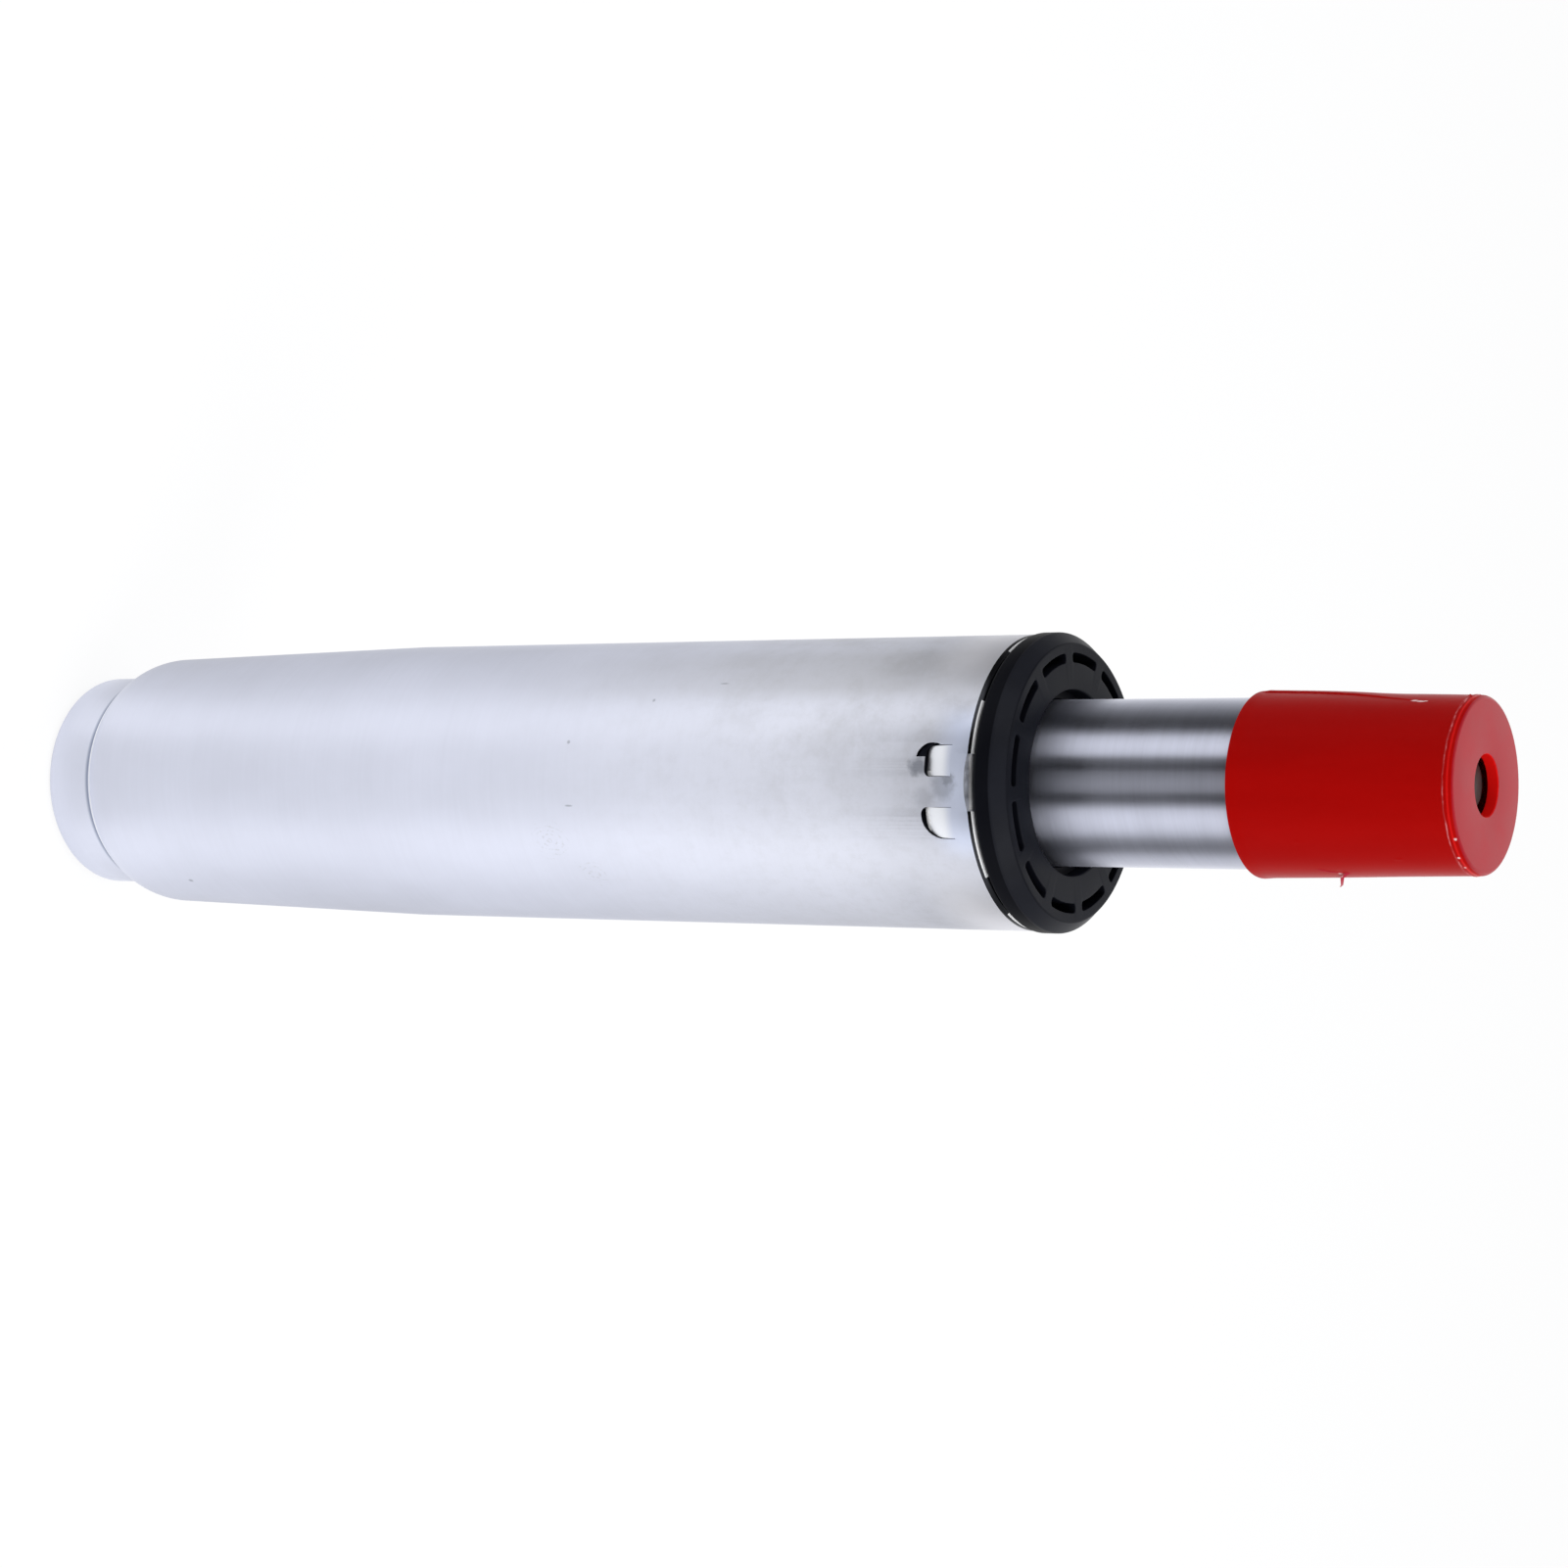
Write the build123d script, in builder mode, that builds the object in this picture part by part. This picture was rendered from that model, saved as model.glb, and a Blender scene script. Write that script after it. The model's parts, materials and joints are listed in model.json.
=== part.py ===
from build123d import *
import math
import os

os.makedirs("parts", exist_ok=True)

# A chair gas lift, standing on its necked lower end, fully lowered, with its transport cap on.
# +Z runs up the axis from the middle of the neck's rim, and the two lanced tabs face -Y.
# Lengths are in millimetres and angles in degrees.

# Clearances and the overrun of every cut
seat_gap = 0.05
running_gap = 0.08
rest_gap = 0.3
overrun = 1.0

# Stand tube: the self-holding cone that sits in the chair's base, the shoulder and the neck
stand_radius = 25.0
stand_wall = 2.0
stand_height = 207.5
taper_angle = 1.4378
base_taper_start = 78.0
shoulder_height = 18.9
shoulder_radius = 14.0
neck_step = 3.8
neck_bevel = 0.8
rim_round = 1.0
rim_facet = 0.93

# The two tabs that are lanced inwards to lock the guide bushing
tab_angles = (-8.3, 15.5)
tab_drop = 3.4
tab_length = 4.7
tab_width = 5.4
tab_depth = 1.5
tab_corner = 1.9
tab_shear = 0.25

# Guide bushing: the flange on the rim, its ring of arc slots and the long sleeve
flange_overhang = 0.3
flange_height = 6.3
flange_side_height = 4.1
flange_bevel = 1.9
flange_under_bevel = 0.7
wiper_step = 1.55
wiper_depth = 3.0
bushing_length = 90.0
slot_count = 12
slot_margin = 1.55
slot_width = 1.65
slot_depth = 6.0
slot_land = 2.45
slot_phase = 5.0
core_outer_wall = 2.05
core_inner_wall = 2.5
core_rib = 3.0
core_roof = 20.0

# Base disc, thrust bearing and the rod's lower end
disc_seat_overlap = 2.0
disc_thickness = 4.0
race_radius = 11.0
race_thickness = 1.0
race_bore_gap = 0.6
ball_radius = 1.6
ball_count = 8
ball_side_count = 8
cage_thickness = 1.4
cage_bore_gap = 1.2
pocket_gap = 0.12
washer_radius = 8.0
washer_thickness = 1.2
clip_radius = 6.6
clip_thickness = 1.3
clip_groove_depth = 0.8
clip_mouth = 5.2
rod_end_radius = 4.0
rod_end_land = 4.3

# Rod, bumper and piston
rod_radius = 5.0
rod_chamfer = 0.6
cup_radius = 12.6
cup_thickness = 1.5
cup_wall = 0.9
cup_lip = 2.2
bumper_height = 18.2
bumper_waist = 1.6
bumper_bead_height = 4.0
bumper_bevel = 1.2
piston_height = 12.0
piston_seal_height = 3.0
piston_groove_depth = 2.0
rod_tip_radius = 3.5
rod_tip_reach = 1.2
nut_across_flats = 10.0
nut_height = 4.0
stroke = 100.0
stroke_reserve = 2.0

# Pressure tube with the cone that holds the seat's mechanism
tube_radius = 14.0
tube_wall = 1.5
exposed_height = 64.7
seat_taper_length = 32.3
foot_lip = 4.0
crimp_lip = 1.7
crimp_bevel = 1.2

# Inside the pressure tube: rod guide, rod seal and the inner cylinder with its foot
guide_height = 8.0
seal_height = 6.0
seal_lip_bevel = 1.0
backup_height = 2.0
backup_bore_gap = 0.4
foot_flange_height = 3.0
foot_spigot_height = 4.0
foot_bore_gap = 0.6
gas_gap = 1.1
cylinder_wall = 0.9
port_count = 4
port_width = 3.0
port_height = 2.4

# Release valve
valve_flange_height = 6.0
valve_spigot_height = 8.0
valve_body_height = 18.0
valve_seal_height = 2.2
valve_seal_depth = 1.4
valve_seal_drop = 7.0
valve_port_radius = 0.9
pin_radius = 4.0
pin_reach = 6.0
pin_length = 21.0
pin_chamfer = 0.5
press_travel = 2.5
stem_radius = 2.0
stem_seal_radius = 4.0
stem_seal_height = 2.4
valve_head_radius = 3.3
valve_head_height = 2.0
valve_head_recess = 4.0

# Protective cap
cap_length = 38.5
cap_wall = 1.0
cap_gap = 0.27
cap_end_thickness = 2.5
cap_hole_radius = 5.0
cap_edge_bevel = 0.6
cap_offset = 0.2

# Stand tube, worked out: radii are measured from the axis and heights from the neck's rim
taper = math.tan(math.radians(taper_angle))
stand_bore = stand_radius - stand_wall
inner_taper_start = base_taper_start + stand_wall * math.tan(math.radians(taper_angle / 2))
shoulder_top_radius = stand_radius - (base_taper_start - shoulder_height) * taper
neck_radius = shoulder_top_radius - neck_step
neck_bore = neck_radius - stand_wall
shoulder_centre = (
    shoulder_top_radius - shoulder_radius * math.cos(math.radians(taper_angle)),
    shoulder_height + shoulder_radius * math.sin(math.radians(taper_angle)),
)
inner_shoulder_radius = shoulder_radius - stand_wall
tab_hinge_height = stand_height - tab_drop
tab_edge_height = tab_hinge_height - tab_length

# Guide bushing, worked out
sleeve_radius = stand_bore - seat_gap
flange_radius = stand_radius + flange_overhang
flange_top = stand_height + flange_height
bushing_bore = tube_radius + running_gap
bushing_foot = flange_top - bushing_length
wiper_radius = bushing_bore + wiper_step
slot_radius = flange_radius - flange_bevel - slot_margin
lock_groove_radius = stand_bore - tab_depth - rest_gap

# The disc drops into the round shoulder until its lower edge meets it
disc_radius = neck_bore + disc_seat_overlap
disc_foot = seat_gap + shoulder_centre[1] - math.sqrt(
    inner_shoulder_radius**2 - (disc_radius - shoulder_centre[0]) ** 2
)
disc_top = disc_foot + disc_thickness
lower_race_top = disc_top + race_thickness
ball_height = lower_race_top + seat_gap + ball_radius
upper_race_foot = ball_height + ball_radius + seat_gap
upper_race_top = upper_race_foot + race_thickness
cup_top = upper_race_top + cup_thickness
bumper_top = cup_top + bumper_height
cage_bore = rod_end_radius + cage_bore_gap
cage_radius = (cage_bore + race_radius) / 2
washer_top = disc_foot - running_gap
clip_top = washer_top - washer_thickness
clip_foot = clip_top - clip_thickness
clip_groove_foot = clip_foot - seat_gap
clip_groove_radius = rod_end_radius - clip_groove_depth
rod_foot = clip_groove_foot - rod_end_land

# Pressure tube and what it holds, worked out from its foot upwards
tube_foot = bumper_top + rest_gap
tube_top = flange_top + exposed_height
tube_bore = tube_radius - tube_wall
seat_taper_start = tube_top - seat_taper_length
packing_radius = tube_bore - seat_gap
rod_guide_foot = tube_foot + tube_wall
rod_seal_foot = rod_guide_foot + guide_height
backup_foot = rod_seal_foot + seal_height
foot_flange_foot = backup_foot + backup_height
cylinder_foot_height = foot_flange_foot + foot_flange_height
foot_spigot_top = cylinder_foot_height + foot_spigot_height
cylinder_radius = tube_bore - gas_gap
cylinder_bore = cylinder_radius - cylinder_wall
spigot_radius = cylinder_bore - seat_gap
piston_foot = foot_spigot_top + stroke_reserve + stroke
piston_top = piston_foot + piston_height
piston_radius = cylinder_bore - running_gap
piston_groove_radius = piston_radius - piston_groove_depth
rod_top = piston_top + nut_height + rod_tip_reach

# Release valve, worked out from the top downwards
seat_top_radius = tube_radius - seat_taper_length * taper
valve_radius = seat_top_radius - tube_wall - seat_gap
valve_body_top = tube_top - tube_wall
valve_body_foot = valve_body_top - valve_body_height
valve_flange_foot = valve_body_foot - valve_flange_height
valve_spigot_foot = valve_flange_foot - valve_spigot_height
valve_seal_top = valve_body_top - valve_seal_drop
pin_top = tube_top + pin_reach
pin_foot = pin_top - pin_length
pin_ledge = pin_foot - press_travel - rest_gap
stem_seal_foot = valve_body_foot - stem_seal_height
valve_head_foot = valve_spigot_foot + valve_head_recess - valve_head_height - seat_gap

# Cap, worked out
cap_inner_top = pin_top + rest_gap
cap_top = cap_inner_top + cap_end_thickness
cap_foot = cap_top - cap_length


def seat_cone_radius(height):
    """Radius of the pressure tube's cone, carried on past its ends."""
    return tube_radius - (height - seat_taper_start) * taper


def crease_angle(inset):
    """Angle below level at which the round shoulder meets the neck, at a depth in the wall."""
    reach = neck_radius - inset - shoulder_centre[0]
    return math.degrees(math.acos(reach / (shoulder_radius - inset)))


def tab_plane(angle):
    """Upright plane through the axis that looks out of the tube at an angle from -Y towards +X."""
    turn = math.radians(angle)
    return Plane(
        origin=(0, 0, 0),
        x_dir=(math.cos(turn), math.sin(turn), 0),
        z_dir=(math.sin(turn), -math.cos(turn), 0),
    )


def tab_outline(angle, edge_height):
    """A tab seen square on: straight at its hinge, with round corners at its sheared edge."""
    with BuildSketch(tab_plane(angle)) as outline:
        with Locations((0, edge_height)):
            Rectangle(tab_width, tab_hinge_height - edge_height, align=(Align.CENTER, Align.MIN))
        fillet(outline.vertices().group_by(Axis.Y)[0], tab_corner)
    return outline.sketch


def lanced_tab(angle):
    """The tongue of wall that hangs on its hinge line and leans into the tube."""
    with BuildPart() as tongue:
        with BuildSketch(Plane.XZ):
            with BuildLine():
                Polyline(
                    (stand_radius, tab_hinge_height),
                    (stand_radius - tab_depth, tab_edge_height),
                    (stand_bore - tab_depth, tab_edge_height),
                    (stand_bore, tab_hinge_height),
                    close=True,
                )
            make_face()
        revolve(axis=Axis.Z)
        extrude(
            tab_outline(angle, tab_edge_height + tab_shear),
            amount=stand_radius + overrun,
            mode=Mode.INTERSECT,
        )
    return tongue.part


def ring(outer_radius, inner_radius, foot, height):
    """A plain ring on the axis."""
    with BuildPart() as plain_ring:
        with BuildSketch(Plane.XY.offset(foot)):
            Circle(outer_radius)
            Circle(inner_radius, mode=Mode.SUBTRACT)
        extrude(amount=height)
    return plain_ring


def finish(builder, name):
    """Label a finished piece and write it."""
    builder.part.label = name
    export_step(builder.part, f"parts/{name}.step")


# Stand tube
tongues = [lanced_tab(angle) for angle in tab_angles]

with BuildPart() as outer_tube:
    with BuildSketch(Plane.XZ):
        with BuildLine():
            outer_arc = CenterArc(
                shoulder_centre, shoulder_radius, -taper_angle, taper_angle - crease_angle(0)
            )
            inner_arc = CenterArc(
                shoulder_centre,
                inner_shoulder_radius,
                -taper_angle,
                taper_angle - crease_angle(stand_wall),
            )
            Polyline(outer_arc @ 1, (neck_radius, 0), (neck_bore, 0), inner_arc @ 1)
            Polyline(
                outer_arc @ 0,
                (stand_radius, base_taper_start),
                (stand_radius, stand_height),
                (stand_bore, stand_height),
                (stand_bore, inner_taper_start),
                inner_arc @ 0,
            )
        make_face()
    revolve(axis=Axis.Z)
    round_edges = outer_tube.edges().filter_by(GeomType.CIRCLE)
    fillet(round_edges.group_by(Axis.Z)[-1].sort_by(SortBy.RADIUS)[-1], rim_round)
    chamfer(round_edges.group_by(Axis.Z)[0].sort_by(SortBy.RADIUS)[-1], neck_bevel)
    # the ground flat across the rim's outer edge
    with BuildSketch(Plane.YZ):
        with BuildLine():
            Polyline(
                (-stand_radius - overrun, stand_height - rim_facet - overrun),
                (-stand_radius + rim_facet + overrun, stand_height + overrun),
                (-stand_radius - overrun, stand_height + overrun),
                close=True,
            )
        make_face()
    extrude(amount=stand_radius, both=True, mode=Mode.SUBTRACT)
    for angle in tab_angles:
        extrude(
            tab_outline(angle, tab_edge_height),
            amount=stand_radius + overrun,
            mode=Mode.SUBTRACT,
        )
    add(tongues)

finish(outer_tube, "outer_tube")

# Guide bushing
with BuildPart() as guide_bushing:
    with BuildSketch(Plane.XZ):
        with BuildLine():
            Polyline(
                (bushing_bore, bushing_foot),
                (sleeve_radius, bushing_foot),
                (sleeve_radius, stand_height),
                (flange_radius - flange_under_bevel, stand_height),
                (flange_radius, stand_height + flange_under_bevel),
                (flange_radius, stand_height + flange_side_height),
                (flange_radius - flange_bevel, flange_top),
                (wiper_radius, flange_top),
                (wiper_radius, flange_top - wiper_depth),
                (bushing_bore, flange_top - wiper_depth),
                close=True,
            )
        make_face()
    revolve(axis=Axis.Z)
    # the groove that the tabs lock into
    with BuildSketch(Plane.XY.offset(tab_edge_height - rest_gap)):
        Circle(sleeve_radius + overrun)
        Circle(lock_groove_radius, mode=Mode.SUBTRACT)
    extrude(amount=tab_length + rest_gap + rest_gap, mode=Mode.SUBTRACT)
    # arc slots in the face, with a land between two of them beside the front
    with BuildSketch(Plane.XY.offset(flange_top)):
        Circle(slot_radius)
        Circle(slot_radius - slot_width, mode=Mode.SUBTRACT)
        with PolarLocations(0, slot_count, start_angle=slot_phase - 90):
            Rectangle(
                flange_radius, slot_land, align=(Align.MIN, Align.CENTER), mode=Mode.SUBTRACT
            )
    extrude(amount=-slot_depth, mode=Mode.SUBTRACT)
    # pockets up the sleeve that keep its wall even, with ribs between them
    with BuildSketch(Plane.XY.offset(bushing_foot)):
        Circle(sleeve_radius - core_outer_wall)
        Circle(bushing_bore + core_inner_wall, mode=Mode.SUBTRACT)
        with PolarLocations(0, slot_count):
            Rectangle(
                sleeve_radius, core_rib, align=(Align.MIN, Align.CENTER), mode=Mode.SUBTRACT
            )
    extrude(amount=bushing_length - core_roof, mode=Mode.SUBTRACT)

finish(guide_bushing, "guide_bushing")

# Base disc
base_disc = ring(disc_radius, rod_end_radius + running_gap, disc_foot, disc_thickness)
finish(base_disc, "base_disc")

# Thrust bearing
lower_race = ring(race_radius, rod_end_radius + race_bore_gap, disc_top, race_thickness)
finish(lower_race, "lower_race")

upper_race = ring(race_radius, rod_end_radius + seat_gap, upper_race_foot, race_thickness)
finish(upper_race, "upper_race")

with BuildPart() as ball_cage:
    with BuildSketch(Plane.XY.offset(ball_height - cage_thickness / 2)):
        Circle(race_radius)
        Circle(cage_bore, mode=Mode.SUBTRACT)
        with PolarLocations(cage_radius, ball_count):
            RegularPolygon(
                ball_radius + pocket_gap, ball_side_count, major_radius=False, mode=Mode.SUBTRACT
            )
    extrude(amount=cage_thickness)

finish(ball_cage, "ball_cage")

# each ball has eight sides and two bands of bevels, all touching its sphere
ball_bevel = ball_radius * (1 - math.tan(math.pi / ball_side_count))
with BuildPart() as bearing_balls:
    with BuildSketch(Plane.XY.offset(ball_height - ball_radius)):
        with PolarLocations(cage_radius, ball_count):
            RegularPolygon(ball_radius, ball_side_count, major_radius=False)
    extrude(amount=ball_radius + ball_radius)
    ball_ends = bearing_balls.edges().group_by(Axis.Z)
    chamfer(ball_ends[0] + ball_ends[-1], ball_bevel)

finish(bearing_balls, "bearing_balls")

# Rod's retainer under the base disc
rod_washer = ring(washer_radius, rod_end_radius + seat_gap, clip_top, washer_thickness)
finish(rod_washer, "rod_washer")

with BuildPart() as retaining_clip:
    with BuildSketch(Plane.XY.offset(clip_foot)):
        Circle(clip_radius)
        Circle(clip_groove_radius + seat_gap, mode=Mode.SUBTRACT)
        Rectangle(
            clip_radius + overrun, clip_mouth, align=(Align.MIN, Align.CENTER), mode=Mode.SUBTRACT
        )
    extrude(amount=clip_thickness)

finish(retaining_clip, "retaining_clip")

# Piston rod
with BuildPart() as piston_rod:
    with BuildSketch(Plane.XZ):
        with BuildLine():
            Polyline(
                (0, rod_foot),
                (rod_end_radius - rod_chamfer, rod_foot),
                (rod_end_radius, rod_foot + rod_chamfer),
                (rod_end_radius, clip_groove_foot),
                (clip_groove_radius, clip_groove_foot),
                (clip_groove_radius, clip_top),
                (rod_end_radius, clip_top),
                (rod_end_radius, cup_top),
                (rod_radius, cup_top),
                (rod_radius, piston_foot),
                (rod_tip_radius, piston_foot),
                (rod_tip_radius, rod_top),
                (0, rod_top),
                close=True,
            )
        make_face()
    revolve(axis=Axis.Z)

finish(piston_rod, "piston_rod")

# Bumper and the steel cup it stands in
with BuildPart() as bumper_cup:
    with BuildSketch(Plane.XZ):
        with BuildLine():
            Polyline(
                (rod_end_radius + seat_gap, upper_race_top),
                (cup_radius, upper_race_top),
                (cup_radius, cup_top + cup_lip),
                (cup_radius - cup_wall, cup_top + cup_lip),
                (cup_radius - cup_wall, cup_top),
                (rod_end_radius + seat_gap, cup_top),
                close=True,
            )
        make_face()
    revolve(axis=Axis.Z)

finish(bumper_cup, "bumper_cup")

bumper_radius = cup_radius - cup_wall - seat_gap
bumper_bore = rod_radius + seat_gap
with BuildPart() as rubber_bumper:
    with BuildSketch(Plane.XZ):
        with BuildLine():
            Polyline(
                (bumper_bore, cup_top),
                (bumper_radius, cup_top),
                (bumper_radius, cup_top + bumper_bead_height),
                (bumper_radius - bumper_waist, cup_top + bumper_bead_height + bumper_waist),
                (bumper_radius - bumper_waist, bumper_top - bumper_bead_height - bumper_waist),
                (bumper_radius, bumper_top - bumper_bead_height),
                (bumper_radius, bumper_top - bumper_bevel),
                (bumper_radius - bumper_bevel, bumper_top),
                (bumper_bore, bumper_top),
                close=True,
            )
        make_face()
    revolve(axis=Axis.Z)

finish(rubber_bumper, "rubber_bumper")

# Piston with its seal and nut
piston_groove_foot = piston_foot + (piston_height - piston_seal_height) / 2 - seat_gap
piston_groove_top = piston_groove_foot + piston_seal_height + seat_gap + seat_gap
with BuildPart() as piston:
    with BuildSketch(Plane.XZ):
        with BuildLine():
            Polyline(
                (rod_tip_radius + seat_gap, piston_foot),
                (piston_radius, piston_foot),
                (piston_radius, piston_groove_foot),
                (piston_groove_radius, piston_groove_foot),
                (piston_groove_radius, piston_groove_top),
                (piston_radius, piston_groove_top),
                (piston_radius, piston_top),
                (rod_tip_radius + seat_gap, piston_top),
                close=True,
            )
        make_face()
    revolve(axis=Axis.Z)

finish(piston, "piston")

piston_seal = ring(
    cylinder_bore - seat_gap,
    piston_groove_radius + seat_gap,
    piston_groove_foot + seat_gap,
    piston_seal_height,
)
finish(piston_seal, "piston_seal")

with BuildPart() as piston_nut:
    with BuildSketch(Plane.XY.offset(piston_top)):
        RegularPolygon(nut_across_flats / 2, 6, major_radius=False)
        Circle(rod_tip_radius + seat_gap, mode=Mode.SUBTRACT)
    extrude(amount=nut_height)

finish(piston_nut, "piston_nut")

# Pressure tube: turned in at its foot, coned towards its top and crimped over the valve
with BuildPart() as pressure_tube:
    with BuildSketch(Plane.XZ):
        with BuildLine():
            Polyline(
                (tube_bore - foot_lip, tube_foot),
                (tube_radius - crimp_bevel, tube_foot),
                (tube_radius, tube_foot + crimp_bevel),
                (tube_radius, seat_taper_start),
                (seat_cone_radius(tube_top - crimp_bevel), tube_top - crimp_bevel),
                (seat_top_radius - crimp_bevel, tube_top),
                (seat_top_radius - tube_wall - crimp_lip, tube_top),
                (seat_top_radius - tube_wall - crimp_lip, valve_body_top),
                (seat_top_radius - tube_wall, valve_body_top),
                (tube_bore, seat_taper_start),
                (tube_bore, rod_guide_foot),
                (tube_bore - foot_lip, rod_guide_foot),
                close=True,
            )
        make_face()
    revolve(axis=Axis.Z)

finish(pressure_tube, "pressure_tube")

# Rod guide, rod seal and the washer that backs it
rod_guide = ring(packing_radius, rod_radius + running_gap, rod_guide_foot, guide_height)
finish(rod_guide, "rod_guide")

with BuildPart() as rod_seal:
    with BuildSketch(Plane.XZ):
        with BuildLine():
            Polyline(
                (rod_radius + seat_gap, rod_seal_foot),
                (packing_radius, rod_seal_foot),
                (packing_radius, backup_foot),
                (rod_radius + seat_gap + seal_lip_bevel, backup_foot),
                (rod_radius + seat_gap, backup_foot - seal_lip_bevel),
                close=True,
            )
        make_face()
    revolve(axis=Axis.Z)

finish(rod_seal, "rod_seal")

seal_washer = ring(packing_radius, rod_radius + backup_bore_gap, backup_foot, backup_height)
finish(seal_washer, "seal_washer")

# Foot that centres the inner cylinder, with slots that lead the gas out to its ports
with BuildPart() as cylinder_foot:
    with BuildSketch(Plane.XY.offset(foot_flange_foot)):
        Circle(packing_radius)
    extrude(amount=foot_flange_height)
    with BuildSketch(Plane.XY.offset(cylinder_foot_height)):
        Circle(spigot_radius)
        with PolarLocations(0, port_count):
            Rectangle(
                packing_radius, port_width, align=(Align.MIN, Align.CENTER), mode=Mode.SUBTRACT
            )
    extrude(amount=foot_spigot_height)
    with BuildSketch(Plane.XY.offset(foot_flange_foot)):
        Circle(rod_radius + foot_bore_gap)
    extrude(amount=foot_flange_height + foot_spigot_height, mode=Mode.SUBTRACT)

finish(cylinder_foot, "cylinder_foot")

with BuildPart() as inner_cylinder:
    with BuildSketch(Plane.XY.offset(cylinder_foot_height)):
        Circle(cylinder_radius)
        Circle(cylinder_bore, mode=Mode.SUBTRACT)
    extrude(amount=valve_flange_foot - cylinder_foot_height)
    with BuildSketch(Plane.XY.offset(cylinder_foot_height)):
        with PolarLocations(0, port_count):
            Rectangle(packing_radius, port_width, align=(Align.MIN, Align.CENTER))
    extrude(amount=port_height, mode=Mode.SUBTRACT)

finish(inner_cylinder, "inner_cylinder")

# Lower half of the valve: a flange and a spigot that plugs the inner cylinder
with BuildPart() as valve_seat:
    with BuildSketch(Plane.XZ):
        with BuildLine():
            Polyline(
                (stem_radius + running_gap, valve_spigot_foot + valve_head_recess),
                (valve_head_radius + rest_gap, valve_spigot_foot + valve_head_recess),
                (valve_head_radius + rest_gap, valve_spigot_foot),
                (spigot_radius, valve_spigot_foot),
                (spigot_radius, valve_flange_foot),
                (valve_radius, valve_flange_foot),
                (valve_radius, valve_body_foot),
                (stem_seal_radius + seat_gap, valve_body_foot),
                (stem_seal_radius + seat_gap, stem_seal_foot),
                (stem_radius + running_gap, stem_seal_foot),
                close=True,
            )
        make_face()
    revolve(axis=Axis.Z)
    # cross hole that leads the gas from the stem out to the gap round the inner cylinder
    with BuildSketch(Plane.YZ):
        with Locations((0, (valve_flange_foot + stem_seal_foot) / 2)):
            Circle(valve_port_radius)
    extrude(amount=valve_radius + overrun, mode=Mode.SUBTRACT)

finish(valve_seat, "valve_seat")

stem_seal = ring(
    stem_seal_radius, stem_radius + seat_gap, stem_seal_foot, stem_seal_height - seat_gap
)
finish(stem_seal, "stem_seal")

# Upper half of the valve, which guides the pin
valve_seal_foot = valve_seal_top - valve_seal_height
with BuildPart() as valve_body:
    with BuildSketch(Plane.XZ):
        with BuildLine():
            Polyline(
                (stem_radius + running_gap, valve_body_foot),
                (valve_radius, valve_body_foot),
                (valve_radius, valve_seal_foot - seat_gap),
                (valve_radius - valve_seal_depth, valve_seal_foot - seat_gap),
                (valve_radius - valve_seal_depth, valve_seal_top + seat_gap),
                (valve_radius, valve_seal_top + seat_gap),
                (valve_radius, valve_body_top),
                (pin_radius + running_gap, valve_body_top),
                (pin_radius + running_gap, pin_ledge),
                (stem_radius + running_gap, pin_ledge),
                close=True,
            )
        make_face()
    revolve(axis=Axis.Z)

finish(valve_body, "valve_body")

valve_seal = ring(
    seat_cone_radius(valve_seal_top) - tube_wall - seat_gap,
    valve_radius - valve_seal_depth + seat_gap,
    valve_seal_foot,
    valve_seal_height,
)
finish(valve_seal, "valve_seal")

# Release pin and the stem under it
with BuildPart() as release_pin:
    with BuildSketch(Plane.XZ):
        with BuildLine():
            Polyline(
                (0, pin_foot),
                (pin_radius, pin_foot),
                (pin_radius, pin_top - pin_chamfer),
                (pin_radius - pin_chamfer, pin_top),
                (0, pin_top),
                close=True,
            )
        make_face()
    revolve(axis=Axis.Z)

finish(release_pin, "release_pin")

with BuildPart() as valve_stem:
    with BuildSketch(Plane.XZ):
        with BuildLine():
            Polyline(
                (0, valve_head_foot),
                (valve_head_radius, valve_head_foot),
                (valve_head_radius, valve_head_foot + valve_head_height),
                (stem_radius, valve_head_foot + valve_head_height),
                (stem_radius, pin_foot),
                (0, pin_foot),
                close=True,
            )
        make_face()
    revolve(axis=Axis.Z)

finish(valve_stem, "valve_stem")

# Protective cap: a thin cup that follows the cone and sits to one side within its clearance
cap_foot_bore = seat_cone_radius(cap_foot) + cap_gap
cap_top_bore = seat_cone_radius(cap_inner_top) + cap_gap
cap_top_radius = seat_cone_radius(cap_top) + cap_gap + cap_wall
with BuildPart() as protective_cap:
    with BuildSketch(Plane(origin=(cap_offset, 0, 0), x_dir=(1, 0, 0), z_dir=(0, -1, 0))):
        with BuildLine():
            Polyline(
                (cap_foot_bore, cap_foot),
                (cap_foot_bore + cap_wall, cap_foot),
                (cap_top_radius, cap_top),
                (cap_hole_radius, cap_top),
                (cap_hole_radius, cap_inner_top),
                (cap_top_bore, cap_inner_top),
                close=True,
            )
        make_face()
    revolve(axis=Axis((cap_offset, 0, 0), (0, 0, 1)))
    end_edges = protective_cap.edges().filter_by(GeomType.CIRCLE).group_by(Axis.Z)[-1]
    chamfer(end_edges.sort_by(SortBy.RADIUS)[-1], cap_edge_bevel)

finish(protective_cap, "protective_cap")
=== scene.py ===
import bmesh
import bpy
import json
from collections import namedtuple
from math import acos, asin, atan2, ceil, cos, degrees, exp, hypot, pi, radians, sin, sqrt, tan
from mathutils import Matrix, Vector, noise


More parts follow.
